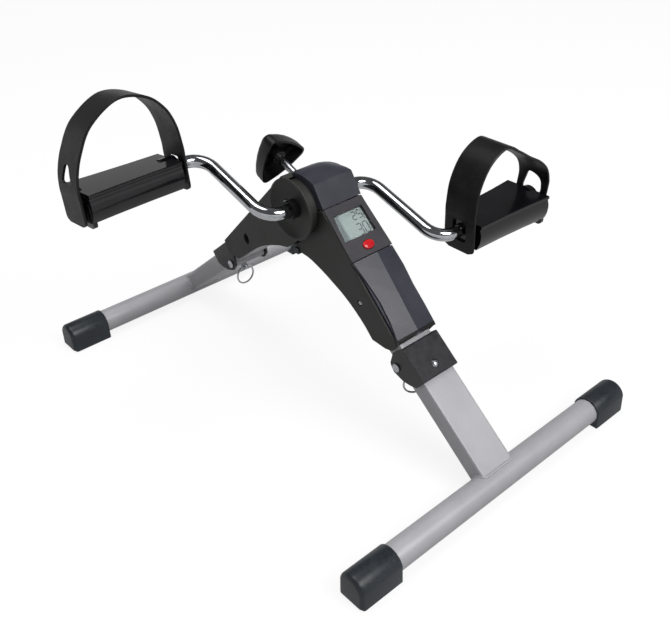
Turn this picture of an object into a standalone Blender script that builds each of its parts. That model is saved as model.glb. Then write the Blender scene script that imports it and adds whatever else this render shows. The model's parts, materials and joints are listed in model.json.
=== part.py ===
"""Folding pedal exerciser: a tube frame on two folding legs, a bent one-piece crank with strapped
pedals, a moulded arched housing with a counter display, and a screw brake.

Metres, +Z up. X runs from the rear leg to the front leg under the display, Y from the left pedal to the
right one. The origin lies on the floor under the crank.
"""

import math

import bmesh
import bpy
from mathutils import Matrix, Vector

PRODUCT = "pedal_exerciser"

# Clearances
GAP = 0.0003
SEAM = 0.0005

# Stance: floor bars, and the crank centre that both leg lines aim at
BAR_X = 0.2375
BAR_R = 0.0127
BAR_WALL = 0.0015
BAR_HALF = 0.181
HUB_Z = 0.212

# End caps of the floor bars
CAP_WALL = 0.0015
CAP_LENGTH = 0.0456
CAP_END = 0.0025
CAP_FOOT_HALF = 0.0133
CAP_BEVEL = 0.0014

# Rectangular tubes of the legs and the main frame
TUBE_W = 0.040
TUBE_H = 0.020
TUBE_WALL = 0.0015
TUBE_CORNER = 0.003

# Distances along a leg line, from the floor bar towards the crank
LEG_TOP = 0.1120
PIN_S = 0.1172
HINGE_S = 0.1325
HINGE_V = -0.0095

# U brackets
PLATE_T = 0.0020
PLATE_TOP = 0.0143
BRACKET_START = 0.1065
BRACKET_END = 0.1456
BRACKET_SLANT = 0.0025
BRACKET_TURN = -0.0020
EAR_LOBE = [(0.0070, -0.0050), (-0.0015, -0.0077), (-0.0135, -0.0031), (-0.0210, 0.0030)]
EAR_BEVEL = 0.0012
EAR_RADII = [0.0015, 0.0015, 0.0040, 0.0045, 0.0040, 0.0060, 0.0040, 0.0040]

# Hinge bolts
BOLT_R = 0.0030
BOLT_HEAD_R = 0.0044
BOLT_HEAD_H = 0.0024
HEAD_CROWN = 0.0002
BARREL_R = 0.0050

# Lock pins and their rings
PIN_R = 0.0038
PIN_TIP = 0.0023
PIN_CROWN = 0.0005
PIN_COLLAR_R = 0.0060
PIN_COLLAR_T = 0.0020
EYE_DROP = 0.0065
EYE_T = 0.0040
EYE_R = 0.0040
EYE_HOLE_R = 0.0015
RING_R = 0.0108
RING_WIRE_R = 0.0010
FRONT_PIN_TURN = -35.0
REAR_PIN_TURN = 0.0

# Crank bearing
SLEEVE_R = 0.0170
SLEEVE_HALF = 0.0215
BUSH_R = 0.0090
BUSH_IN = 0.0120
BUSH_PROUD = 0.0013
WASHER_R = 0.0092
WASHER_T = 0.0010
HUB_SCREW_RADIUS = 0.0127
HUB_SCREW_ANGLES = (172.0, 248.0)

# Crank: one bent rod
ROD_R = 0.00635
CRANK_R = 0.104
CRANK_ANGLE = 17.5
ARM_Y = 0.063
BEND_R = 0.020
ROD_INSET = 0.0035

# Brake
BRAKE_ANGLE = 21.5
COLLAR_R = 0.0088
COLLAR_HALF = 0.0105
PAD_R = 0.0055
PAD_T = 0.0020
SHOE_R = 0.0057
SHOE_T = 0.0040
BRAKE_TRAVEL = 0.0045
NUT_BOSS_R = 0.0090
NUT_BOSS_END = 0.0255
SCREW_R = 0.0040
SCREW_POINT = 0.0010
KNOB_RIM = 0.0608
KNOB_DEPTH = 0.0160
KNOB_LOBE = 0.0300
KNOB_LOBE_R = 0.0070
KNOB_SIDE = 0.0210
KNOB_WALL = 0.0022
KNOB_BOSS_R = 0.0075

# Sensor in the bearing and magnet in the brake collar
SENSOR_ANGLE = 60.0
SENSOR_Y = -0.0080
SENSOR_R = 0.0027
SENSOR_LENGTH = 0.0140
MAGNET_R = 0.0013
MAGNET_T = 0.0017

# Housing side view, as points in X and Z
END_TOP = (0.1344, 0.1208)
JOINT = (0.0747, 0.1818)
STEP = (0.0340, 0.2200)
CREASE = (0.0210, 0.2410)
CREST = (0.0000, 0.2465)
BACK_CREASE = (-0.0105, 0.2435)
BACK_STEP = (-0.0340, 0.2200)
BACK_END_TOP = (-0.1330, 0.1220)
BACK_END = [(-0.1265, 0.1095), (-0.1070, 0.1095)]
BACK_ARCH = [(-0.1070, 0.1095), (-0.0660, 0.1420), (-0.0330, 0.1590), (-0.0105, 0.1664)]
SIDE_SEAM = [(0.0030, 0.1780), (0.0080, 0.1840), (0.0165, 0.1940)]
FRONT_ARCH = [(-0.0015, 0.1610), (0.0174, 0.1583), (0.0558, 0.1429), (0.0832, 0.1245), (0.0994, 0.1088)]
FRONT_END = [(0.1168, 0.1076), (0.1255, 0.1095)]
NECK_JOINTS = [(-0.0020, 0.2360), (0.0200, 0.2138)]

# Housing walls and widths
SHELL_WALL = 0.0024
SIDE_SPARE = 0.0020
TOP_STEP = 0.0014
BACK_SWELL_END = 0.0010
BACK_SWELL_FAR = 0.0005
BACK_SWELL_HUB = 0.0100
BACK_TAPER_START = 0.150
SHELL_BEVEL = 0.0007
TUBE_ROOM = 0.0006
ARCH_HALF = 0.052

# Crowned top of the housing: X, height and share of the drop towards its long edges
CROWN = [(*BACK_STEP, 0.0), (-0.0100, 0.2437, 1.0), (-0.0055, 0.2456, 1.0), (*CREST, 1.0),
         (0.0060, 0.2461, 0.95), (0.0110, 0.2452, 0.75), (0.0160, 0.2433, 0.4), (*CREASE, 0.1),
         (*STEP, 0.0)]
CROWN_FAR_DROP = 0.00543
CROWN_NEAR_DROP = 0.0015
CROWN_STEPS = 12

# Round crank boss on the rear shells
NECK_R = 0.0270
DISC_R = 0.0310
DISC_T = 0.0028
DISC_FACE = 0.0362
BOSS_BEVEL = 0.0010
DISH = [(0.0285, 0.0), (0.0262, 0.0022), (0.0230, 0.0040), (0.0195, 0.0052), (0.0160, 0.0060)]
FAR_NECK_FACE = 0.0248
FAR_BOSS_R = 0.0245
FAR_BOSS_FACE = 0.0266
FAR_DISH = [(0.0225, 0.0), (0.0210, 0.0008), (0.0190, 0.0014), (0.0160, 0.0017)]

# Housing screws
SHELL_SCREW_R = 0.0015
SHELL_SCREW_HEAD_R = 0.0028
SHELL_SCREW_HEAD_T = 0.0018
SHELL_SCREW_RIM = 0.0007
FRONT_SCREW = (0.0830, 0.1420)
BACK_SCREW = (-0.0862, 0.1436)
BACK_POCKET_X = 0.0046
BACK_POCKET_Z = 0.0063

# Display case: along the face from the step line, depth below the face
CASE_FLANGE = 0.0010
CASE_OVERHANG = 0.0004
CASE_DEPTH = 0.0090
CASE_FACE_T = 0.0042
CASE_PLAY = 0.0004
CASE_WALL = 0.0023
WINDOW = [(0.0095, -0.0178), (0.0095, 0.0175), (0.0363, 0.0180), (0.0358, -0.0205)]
WINDOW_CORNER = 0.0008
LENS_T = 0.0010
LENS_INSET = 0.0006
LCD_T = 0.0017
LCD_START = 0.0075
LCD_END = 0.0385
BOARD_T = 0.0015
BOARD_START = 0.0050
BOARD_END = 0.0500
BATTERY_R = 0.0058
BATTERY_T = 0.0050
BATTERY_PLACE = (0.0240, 0.0080)
BUTTON_PLACE = (0.0463, 0.0010)
BUTTON_LENGTH = 0.0130
BUTTON_WIDTH = 0.0090
BUTTON_PROUD = 0.0012
BUTTON_TRAVEL = 0.0010
BUTTON_BEVEL = 0.0008

# Front cover: half widths of the raised panel from the joint to the lower end
PANEL_HALVES = [0.0244, 0.0216, 0.0194, 0.0206, 0.0239]
PANEL_T = 0.0035
PANEL_RIDGE = 0.0023
PANEL_RIDGE_TOP = 0.0035
PANEL_RIDGE_END = 0.0005
COVER_DEPTH = 0.0090
COVER_WALL = 0.0021
SHELL_EDGE_DROP = 0.0040

# Clip on the lower edge of the left front shell
CLIP_X = -0.0085
CLIP_WIDTH = 0.0060
CLIP_T = 0.0015
CLIP_RISE = 0.0050

# Pedals, about their own axis. Plan: share of the length from the crank's side, and half width there.
# Rib along the top edge: inset and depth. Side below it: inset, and share of the way to the bottom.
PEDAL_TOP = 0.0096
PEDAL_BOTTOM = 0.0180
PEDAL_PLAN = [(0.0, 0.0220), (0.35, 0.0228), (0.7, 0.0246), (1.0, 0.0270)]
PEDAL_RIB = [(0.0006, 0.0), (0.0, 0.0008), (0.0, 0.0030), (0.0013, 0.0038), (0.0011, 0.0061),
             (0.0001, 0.0091)]
PEDAL_SIDE = [(0.0, 0.222), (0.0008, 0.5), (0.0028, 0.8), (0.0050, 1.0)]
PEDAL_IN = 0.0980
PEDAL_LENGTH = 0.0980
FLANGE_HALF = 0.0225
FLANGE_LOW = 0.0235
FLANGE_T = 0.0040
FLANGE_CORNER = 0.0040
LUG_R = 0.0115
LUG_LENGTH = 0.0032
INNER_COLLAR_R = 0.0110
INNER_COLLAR_LENGTH = 0.0042
LEFT_PEDAL_TILT = 7.0
NUT_R = 0.0060
NUT_INSET = 0.0004
NUT_SLOT_W = 0.0022
NUT_SLOT_DEPTH = 0.0012

# Straps: centre lines as shares of the way from the inner leg to the outer one, and height
STRAP_W = 0.038
STRAP_T = 0.0025
STRAP_FOOT = 0.0212
STRAP_FOOT_CORNER = 0.0060
LEFT_BULGE = 0.0
RIGHT_BULGE = 0.0030
LEFT_STRAP = [(0.979, 0.0240), (0.915, 0.0440), (0.786, 0.0665), (0.532, 0.0840), (0.279, 0.0775),
              (0.118, 0.0625), (0.035, 0.0440), (0.003, 0.0230)]
RIGHT_STRAP = [(1.032, 0.0240), (0.984, 0.0370), (0.873, 0.0495), (0.680, 0.0600), (0.399, 0.0735),
               (0.168, 0.0650), (0.044, 0.0450), (0.002, 0.0230)]
STRAP_HOLE_LOW = 0.0120
STRAP_HOLE_HIGH = 0.0330
STRAP_HOLE_HALF = 0.0095
STRAP_SLOT_HALF = 0.0085
STRAP_SLOT_HIGH = 0.0110

# Worked out from the sizes above
BAR_Z = BAR_R + GAP + CAP_WALL
LEG_ANGLE = math.atan2(HUB_Z - BAR_Z, BAR_X)
COS = math.cos(LEG_ANGLE)
SIN = math.sin(LEG_ANGLE)
STUB_START = LEG_TOP + GAP
PLATE_UNDER = PLATE_TOP - PLATE_T
EAR_IN = TUBE_W / 2 + GAP
EAR_OUT = EAR_IN + PLATE_T
SIDE_HALF = TUBE_W / 2 + TUBE_ROOM + SHELL_WALL + SIDE_SPARE
SIDE_IN = SIDE_HALF - SHELL_WALL
TOP_HALF = SIDE_HALF - TOP_STEP
CROWN_R = (TOP_HALF ** 2 + CROWN_FAR_DROP ** 2) / (2 * CROWN_FAR_DROP)
CASE_BODY_HALF = SIDE_IN - CASE_PLAY
COVER_LENGTH = math.dist(JOINT, END_TOP)
CASE_LENGTH = math.dist(STEP, JOINT)
PEDAL_OUT = PEDAL_IN + PEDAL_LENGTH
LUG_OUT = PEDAL_OUT + LUG_LENGTH
INNER_COLLAR_END = PEDAL_IN - INNER_COLLAR_LENGTH
ROD_END = PEDAL_OUT - ROD_INSET
STRAP_OUT = LUG_OUT + GAP + STRAP_T / 2
STRAP_IN = INNER_COLLAR_END - GAP - STRAP_T / 2
BUSH_BORE = ROD_R + GAP
SLEEVE_BORE = BUSH_R + GAP
HUB = Vector((0.0, 0.0, HUB_Z))
BRAKE_AXIS = Vector((-math.cos(math.radians(BRAKE_ANGLE)), 0.0, math.sin(math.radians(BRAKE_ANGLE))))
SENSOR_AXIS = Vector((math.cos(math.radians(SENSOR_ANGLE)), 0.0, math.sin(math.radians(SENSOR_ANGLE))))
PAD_START = COLLAR_R + GAP
SHOE_START = PAD_START + PAD_T + GAP
SCREW_START = SHOE_START + SHOE_T + GAP
FRONT, REAR = 1, -1
RIGHT, LEFT = 1, -1

# Sizes that differ between the left and the right side of the housing
BACK_HUB_HALF = {LEFT: SIDE_HALF + BACK_SWELL_HUB, RIGHT: SIDE_HALF + BACK_SWELL_FAR}
BOSS_FACE = {LEFT: DISC_FACE, RIGHT: FAR_BOSS_FACE}
DISHES = {LEFT: DISH, RIGHT: FAR_DISH}
DISH_FLOOR = {hand: BOSS_FACE[hand] - DISHES[hand][-1][1] for hand in (LEFT, RIGHT)}
BUSH_OUT = {hand: BOSS_FACE[hand] + BUSH_PROUD for hand in (LEFT, RIGHT)}

# Colours as sRGB values with roughness and metallic share
STEEL_PAINT = ("#b0b0b5", 0.45, 0.3)
BLACK_PAINT = ("#3a3a3e", 0.45, 0.2)
SHELL_PLASTIC = ("#3b3c3a", 0.6, 0.0)
COVER_PLASTIC = ("#4a4a52", 0.5, 0.0)
CAP_PLASTIC = ("#2b2e31", 0.4, 0.0)
PEDAL_PLASTIC = ("#1c1a20", 0.4, 0.0)
STRAP_RUBBER = ("#2e2e30", 0.55, 0.0)
CHROME = ("#d0d2d6", 0.12, 1.0)
RED_PLASTIC = ("#c8282d", 0.35, 0.0)
LCD_GLASS = ("#a9b5b2", 0.2, 0.0)
CLEAR_PLASTIC = ("#c8d2d4", 0.1, 0.0)
BOARD_GREEN = ("#1f5a38", 0.5, 0.0)
FELT = ("#6a5f52", 0.9, 0.0)

for old in list(bpy.data.objects):
    bpy.data.objects.remove(old)
PARTS = bpy.data.collections.new(PRODUCT)
CUTTERS = bpy.data.collections.new("cutters")
bpy.context.scene.collection.children.link(PARTS)
bpy.context.scene.collection.children.link(CUTTERS)


# Helpers for outlines

def leg_point(side, s, v):
    """X and Z of a point s along a leg line and v above it."""
    return side * (BAR_X - s * COS + v * SIN), BAR_Z + s * SIN + v * COS


def leg_outline(side, points):
    return [leg_point(side, s, v) for s, v in points]


def leg_axes(side):
    """World directions along a leg line, towards the crank, and square to it, upwards."""
    return Vector((-side * COS, 0.0, SIN)), Vector((side * SIN, 0.0, COS))


def arc(centre, radius, start, end, steps):
    """Points on an arc, in degrees."""
    angles = [math.radians(start + (end - start) * i / steps) for i in range(steps + 1)]
    return [(centre[0] + radius * math.cos(a), centre[1] + radius * math.sin(a)) for a in angles]


def rounded(points, radius, steps=3):
    """A closed outline with its corners turned into arcs. radius is one value or one for each corner."""
    radii = radius if isinstance(radius, list) else [radius] * len(points)
    outline = []
    for i, corner in enumerate(points):
        p = Vector(corner)
        a = (Vector(points[i - 1]) - p).normalized()
        b = (Vector(points[(i + 1) % len(points)]) - p).normalized()
        half = a.angle(b) / 2
        if radii[i] == 0 or half > math.radians(89):
            outline.append(tuple(p))
            continue
        reach = radii[i] / math.tan(half)
        centre = p + (a + b).normalized() * radii[i] / math.sin(half)
        first = p + a * reach - centre
        last = p + b * reach - centre
        for k in range(steps + 1):
            spoke = first.lerp(last, k / steps).normalized() * radii[i]
            outline.append(tuple(centre + spoke))
    return outline


def smooth(points, steps=2):
    """An open line through the points, with rounded turns."""
    ends = [Vector(p) for p in points]
    ends = [ends[0] * 2 - ends[1]] + ends + [ends[-1] * 2 - ends[-2]]
    line = []
    for a, b, c, d in zip(ends, ends[1:], ends[2:], ends[3:]):
        for k in range(steps):
            t = k / steps
            line.append(0.5 * (2 * b + (c - a) * t + (2 * a - 5 * b + 4 * c - d) * t ** 2
                               + (3 * b - a - 3 * c + d) * t ** 3))
    line.append(ends[-2])
    return [tuple(p) for p in line]


def shifted(points, distance):
    """An open line moved sideways, to the left of its own direction when distance is positive."""
    line = [Vector(p) for p in points]
    moved = []
    for i, p in enumerate(line):
        along = (line[min(i + 1, len(line) - 1)] - line[max(i - 1, 0)]).normalized()
        moved.append(tuple(p + Vector((-along.y, along.x)) * distance))
    return moved


def on_face(start, end, u, depth):
    """X and Z of a point u along a housing face and depth below it."""
    along = (Vector(end) - Vector(start)).normalized()
    return tuple(Vector(start) + along * u - Vector((-along.y, along.x)) * depth)


def face_matrix(start, end, depth):
    """Places a flat piece on a housing face: local X runs along the face, Y across, Z out of it."""
    along = (Vector(end) - Vector(start)).normalized()
    x_axis = Vector((along.x, 0.0, along.y))
    z_axis = Vector((-along.y, 0.0, along.x))
    origin = on_face(start, end, 0.0, depth)
    return placed(x_axis, Vector((0.0, 1.0, 0.0)), z_axis, Vector((origin[0], 0.0, origin[1])))


def placed(x_axis, y_axis, z_axis, origin):
    columns = Matrix((x_axis, y_axis, z_axis)).transposed().to_4x4()
    columns.translation = origin
    return columns


# Helpers for solids

def linked(name, mesh, matrix=None, cutter=False):
    obj = bpy.data.objects.new(name, mesh)
    (CUTTERS if cutter else PARTS).objects.link(obj)
    if matrix is not None:
        obj.matrix_world = matrix
    if cutter:
        obj.hide_render = True
        obj.display_type = "WIRE"
    return obj


def closed(mesh):
    """Welds a mesh's loose caps and turns its faces out."""
    work = bmesh.new()
    work.from_mesh(mesh)
    bmesh.ops.remove_doubles(work, verts=work.verts, dist=0.000001)
    bmesh.ops.recalc_face_normals(work, faces=work.faces)
    work.to_mesh(mesh)
    work.free()
    return mesh


def curve_to_mesh(name, curve, matrix, cutter):
    guide = bpy.data.objects.new(name + "_guide", curve)
    CUTTERS.objects.link(guide)
    guide.matrix_world = matrix
    bpy.context.view_layer.update()
    seen = guide.evaluated_get(bpy.context.evaluated_depsgraph_get())
    mesh = closed(bpy.data.meshes.new_from_object(seen))
    obj = linked(name, mesh, guide.matrix_world.copy(), cutter)
    bpy.data.objects.remove(guide)
    return obj


def flat_solid(name, loops, thickness, matrix, cutter=False):
    """A plate: the outline, with any holes, made a filled curve of the given thickness."""
    curve = bpy.data.curves.new(name, "CURVE")
    curve.dimensions = "2D"
    curve.fill_mode = "BOTH"
    curve.extrude = thickness / 2
    for loop in loops:
        spline = curve.splines.new("POLY")
        spline.points.add(len(loop) - 1)
        for point, (a, b) in zip(spline.points, loop):
            point.co = (a, b, 0.0, 1.0)
        spline.use_cyclic_u = True
    return curve_to_mesh(name, curve, matrix, cutter)


def side_solid(name, outline, y0, y1, cutter=False):
    """A plate whose outline is a side view in X and Z, from y0 to y1."""
    matrix = placed(Vector((1, 0, 0)), Vector((0, 0, 1)), Vector((0, -1, 0)), Vector((0, (y0 + y1) / 2, 0)))
    return flat_solid(name, [outline], abs(y1 - y0), matrix, cutter)


def leg_bar(name, loops, side, s0, s1, cutter=False):
    """A bar along a leg line whose section is drawn across Y and up."""
    along, up = leg_axes(side)
    across = Vector((0.0, 1.0, 0.0))
    x, z = leg_point(side, (s0 + s1) / 2, 0.0)
    matrix = placed(across, up, across.cross(up), Vector((x, 0.0, z)))
    return flat_solid(name, loops, s1 - s0, matrix, cutter)


def rod(name, start, end, radius, segments=32, cutter=False, end_radius=None):
    """A cylinder or cone between two points."""
    start, end = Vector(start), Vector(end)
    mesh = bpy.data.meshes.new(name)
    work = bmesh.new()
    bmesh.ops.create_cone(work, cap_ends=True, segments=segments, radius1=radius,
                          radius2=radius if end_radius is None else end_radius, depth=(end - start).length)
    work.to_mesh(mesh)
    work.free()
    turn = (end - start).to_track_quat("Z", "Y").to_matrix().to_4x4()
    return linked(name, mesh, Matrix.Translation((start + end) / 2) @ turn, cutter)


def box(name, centre, size, matrix=None, cutter=False):
    mesh = bpy.data.meshes.new(name)
    work = bmesh.new()
    bmesh.ops.create_cube(work, size=1.0, matrix=Matrix.Translation(centre) @ Matrix.Diagonal((*size, 1.0)))
    work.to_mesh(mesh)
    work.free()
    return linked(name, mesh, matrix, cutter)


def turned(name, profile, origin, axis, steps=32, ring=False, cutter=False):
    """A turned solid. The profile is radius and height, down its outer side; a ring's profile closes."""
    mesh = bpy.data.meshes.new(name)
    count = len(profile)
    edges = [(i, i + 1) for i in range(count - 1)]
    if ring:
        edges.append((count - 1, 0))
    mesh.from_pydata([(r, 0.0, h) for r, h in profile], edges, [])
    turn = Vector(axis).to_track_quat("Z", "Y").to_matrix().to_4x4()
    obj = linked(name, mesh, Matrix.Translation(Vector(origin)) @ turn, cutter)
    screw = obj.modifiers.new("turn", "SCREW")
    screw.steps = steps
    screw.render_steps = steps
    screw.use_merge_vertices = True
    screw.merge_threshold = 0.000001
    return obj


def loft(name, sections, matrix=None, cutter=False):
    """A solid through sections of equal point count, closed at both ends."""
    mesh = bpy.data.meshes.new(name)
    work = bmesh.new()
    rows = [[work.verts.new(p) for p in section] for section in sections]
    for low, high in zip(rows, rows[1:]):
        for i in range(len(low)):
            j = (i + 1) % len(low)
            work.faces.new((low[i], low[j], high[j], high[i]))
    work.faces.new(rows[0])
    work.faces.new(rows[-1])
    bmesh.ops.recalc_face_normals(work, faces=work.faces)
    work.to_mesh(mesh)
    work.free()
    return linked(name, mesh, matrix, cutter)


def combine(obj, tool, operation):
    step = obj.modifiers.new(tool.name, "BOOLEAN")
    step.operation = operation
    step.solver = "EXACT"
    step.object = tool


def cut(obj, *tools):
    for tool in tools:
        combine(obj, tool, "DIFFERENCE")


def join(obj, *tools):
    for tool in tools:
        combine(obj, tool, "UNION")


def soften(obj, width, segments=2, angle=40.0):
    bevel = obj.modifiers.new("edges", "BEVEL")
    bevel.width = width
    bevel.segments = segments
    bevel.limit_method = "ANGLE"
    bevel.angle_limit = math.radians(angle)
    bevel.harden_normals = False


def finish(obj, look):
    """Gives a piece its own material, and smooth shading with sharp edges kept."""
    colour, roughness, metallic = look
    material = bpy.data.materials.new(obj.name + "_finish")
    material.use_nodes = True
    shader = material.node_tree.nodes["Principled BSDF"]
    srgb = [int(colour[i:i + 2], 16) / 255 for i in (1, 3, 5)]
    linear = [c / 12.92 if c <= 0.04045 else ((c + 0.055) / 1.055) ** 2.4 for c in srgb]
    shader.inputs["Base Color"].default_value = (*linear, 1.0)
    shader.inputs["Roughness"].default_value = roughness
    shader.inputs["Metallic"].default_value = metallic
    obj.data.materials.append(material)
    obj.data.shade_smooth()
    obj.data.set_sharp_from_angle(angle=math.radians(35))
    return obj


def carrier(name, location, turn=None):
    """An empty on a joint axis, which carries a moving body's pieces."""
    empty = bpy.data.objects.new(name, None)
    PARTS.objects.link(empty)
    empty.empty_display_size = 0.02
    empty.matrix_world = Matrix.Translation(location) @ (turn or Matrix.Identity(4))
    return empty


def carry(empty, objects):
    """Parents pieces to an empty and leaves them where they are."""
    bpy.context.view_layer.update()
    for obj in objects:
        obj.parent = empty
        obj.matrix_parent_inverse = empty.matrix_world.inverted()


def carry_local(empty, objects):
    """Parents pieces that were built about the origin to an empty that holds their place."""
    for obj in objects:
        obj.parent = empty


# Frame

def tube_loops():
    outer = [(-TUBE_W / 2, -TUBE_H / 2), (TUBE_W / 2, -TUBE_H / 2), (TUBE_W / 2, TUBE_H / 2),
             (-TUBE_W / 2, TUBE_H / 2)]
    w, h = TUBE_W / 2 - TUBE_WALL, TUBE_H / 2 - TUBE_WALL
    inner = [(-w, -h), (w, -h), (w, h), (-w, h)]
    return [rounded(outer, TUBE_CORNER, 2), rounded(inner, TUBE_CORNER - TUBE_WALL, 1)]


def hinge_point(side, y=0.0):
    x, z = leg_point(side, HINGE_S, HINGE_V)
    return Vector((x, y, z))


def stub_end_cutter(side, word):
    """Rounds a frame tube's end about its hinge, so that the bracket's top plate swings past it."""
    reach = PLATE_UNDER - HINGE_V - GAP
    curve = arc((HINGE_S, HINGE_V), reach, 100.0, 168.0, 8)
    beyond = STUB_START - TUBE_H
    outline = curve + [(beyond, curve[-1][1]), (beyond, TUBE_H), (curve[0][0], TUBE_H)]
    return side_solid(word + "_stub_end", leg_outline(side, outline), -TUBE_W, TUBE_W, cutter=True)


def pin_slot_cutter(side, word):
    """An open slot in the tube's lower wall, where the lock pin enters."""
    half = PIN_R + GAP
    outline = arc((PIN_S, 0.0), half, -90.0, 90.0, 8)
    outline += [(STUB_START - half, half), (STUB_START - half, -half)]
    along, up = leg_axes(side)
    across = up.cross(along)
    x, z = leg_point(side, 0.0, -TUBE_H / 2)
    return flat_solid(word + "_pin_slot", [outline], 4 * TUBE_WALL,
                      placed(along, across, up, Vector((x, 0.0, z))), cutter=True)


def main_frame():
    end = (HUB - Vector((BAR_X, 0.0, BAR_Z))).length - SLEEVE_R / 2
    frame = leg_bar("main_frame", tube_loops(), FRONT, STUB_START, end)
    rear_arm = leg_bar("rear_arm", tube_loops(), REAR, STUB_START, end, cutter=True)
    across = Vector((0.0, SLEEVE_HALF, 0.0))
    sleeve = rod("hub_sleeve", HUB - across, HUB + across, SLEEVE_R, 40, cutter=True)
    boss = rod("nut_boss", HUB + BRAKE_AXIS * PAD_START, HUB + BRAKE_AXIS * NUT_BOSS_END, NUT_BOSS_R, 24,
               cutter=True)
    join(frame, rear_arm, sleeve, boss)
    far = across * 2
    cut(frame, rod("sleeve_bore", HUB - far, HUB + far, SLEEVE_BORE, 32, cutter=True))
    shoe_end = SCREW_START + BRAKE_TRAVEL + GAP
    cut(frame, rod("shoe_bore", HUB, HUB + BRAKE_AXIS * shoe_end, SHOE_R + GAP, 24, cutter=True))
    cut(frame, rod("nut_bore", HUB, HUB + BRAKE_AXIS * 2 * NUT_BOSS_END, SCREW_R + GAP, 20, cutter=True))
    sensor = HUB + Vector((0.0, SENSOR_Y, 0.0))
    cut(frame, rod("sensor_bore", sensor, sensor + SENSOR_AXIS * 2 * SLEEVE_R, SENSOR_R + GAP, 16,
                   cutter=True))
    for side, word in ((FRONT, "front"), (REAR, "rear")):
        half = TUBE_W / 2 - GAP
        barrel = rod(word + "_barrel", hinge_point(side, -half), hinge_point(side, half), BARREL_R, 20,
                     cutter=True)
        cut(frame, stub_end_cutter(side, word))
        join(frame, barrel)
        cut(frame, rod(word + "_hinge_bore", hinge_point(side, -TUBE_W), hinge_point(side, TUBE_W),
                       BOLT_R + GAP, 16, cutter=True))
        cut(frame, pin_slot_cutter(side, word))
    for side, word in ((LEFT, "left"), (RIGHT, "right")):
        for i, place in enumerate(hub_screw_places()):
            at = Vector((place[0], 0.0, place[1]))
            near = at + Vector((0.0, side * (BUSH_IN + SHELL_SCREW_R), 0.0))
            cut(frame, rod(f"{word}_thread_{i}", near, at + Vector((0.0, side * TUBE_W, 0.0)),
                           SHELL_SCREW_R + GAP, 12, cutter=True))
        for place, end_word in ((FRONT_SCREW, "front"), (BACK_SCREW, "rear")):
            near = Vector((place[0], side * (TUBE_W / 2 - 3 * TUBE_WALL), place[1]))
            cut(frame, rod(f"{word}_{end_word}_screw_hole", near,
                           near + Vector((0.0, side * TUBE_W / 2, 0.0)),
                           SHELL_SCREW_R + GAP, 12, cutter=True))
    return finish(frame, STEEL_PAINT)


def hub_screw_places():
    return arc_places((0.0, HUB_Z), HUB_SCREW_RADIUS, HUB_SCREW_ANGLES)


def arc_places(centre, radius, angles):
    return [arc(centre, radius, angle, angle, 1)[0] for angle in angles]


# Legs

def bracket(side, word):
    corners = [(BRACKET_START, PLATE_TOP), (BRACKET_END - BRACKET_SLANT, PLATE_TOP),
               (BRACKET_END, BRACKET_TURN)]
    corners += [(HINGE_S + s, HINGE_V + v) for s, v in EAR_LOBE] + [(BRACKET_START, 0.0)]
    ears = side_solid(word + "_bracket", leg_outline(side, rounded(corners, EAR_RADII, 3)), -EAR_OUT, EAR_OUT)
    soften(ears, EAR_BEVEL, 2)
    room = [(BRACKET_START - TUBE_H, -2 * TUBE_H), (BRACKET_END + TUBE_H, -2 * TUBE_H),
            (BRACKET_END + TUBE_H, PLATE_UNDER), (BRACKET_START - TUBE_H, PLATE_UNDER)]
    cut(ears, side_solid(word + "_bracket_room", leg_outline(side, room), -EAR_IN, EAR_IN, cutter=True))
    cut(ears, rod(word + "_ear_holes", hinge_point(side, -TUBE_W), hinge_point(side, TUBE_W), BOLT_R + GAP,
                  20, cutter=True))
    low, high = leg_point(side, PIN_S, 0.0), leg_point(side, PIN_S, 2 * TUBE_H)
    cut(ears, rod(word + "_plate_hole", (low[0], 0.0, low[1]), (high[0], 0.0, high[1]), PIN_R + GAP, 24,
                  cutter=True))
    return finish(ears, BLACK_PAINT)


def leg_tube(side, word):
    tube = leg_bar(word + "_leg_tube", tube_loops(), side, BAR_R / 2, LEG_TOP)
    half = Vector((0.0, TUBE_W, 0.0))
    bar = Vector((side * BAR_X, 0.0, BAR_Z))
    cut(tube, rod(word + "_cope", bar - half, bar + half, BAR_R + GAP, 48, cutter=True))
    return finish(tube, STEEL_PAINT)


def crossbar(side, word):
    half = BAR_HALF - CAP_END - GAP
    profile = [(BAR_R, half), (BAR_R, -half), (BAR_R - BAR_WALL, -half), (BAR_R - BAR_WALL, half)]
    return finish(turned(word + "_crossbar", profile, (side * BAR_X, 0.0, BAR_Z), (0, 1, 0), 40, ring=True),
                  STEEL_PAINT)


def end_cap(side, word, hand, hand_word):
    name = f"{word}_{hand_word}_cap"
    radius = BAR_R + GAP + CAP_WALL
    centre = (side * BAR_X, BAR_Z)
    outline = arc(centre, radius, -20.0, 200.0, 18)
    outline += [(side * BAR_X - CAP_FOOT_HALF, 0.0), (side * BAR_X + CAP_FOOT_HALF, 0.0)]
    rim = BAR_HALF - CAP_LENGTH
    cap = side_solid(name, outline, hand * rim, hand * BAR_HALF)
    soften(cap, CAP_BEVEL, 2, 50.0)
    bore_end = BAR_HALF - CAP_END
    cut(cap, rod(name + "_bore", (centre[0], hand * (rim - CAP_LENGTH), BAR_Z),
                 (centre[0], hand * bore_end, BAR_Z),
                 BAR_R + GAP, 40, cutter=True))
    return finish(cap, CAP_PLASTIC)


def hinge_bolt(side, word):
    shank = EAR_OUT + GAP
    half = shank + BOLT_HEAD_H
    top = [(0.0, half), (0.6 * BOLT_HEAD_R, half - HEAD_CROWN), (BOLT_HEAD_R, shank + BOLT_HEAD_H / 2),
           (BOLT_HEAD_R, shank), (BOLT_R, shank)]
    profile = top + [(r, -h) for r, h in reversed(top)]
    return finish(turned(word + "_hinge_bolt", profile, hinge_point(side), (0, 1, 0), 20), CHROME)


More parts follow.
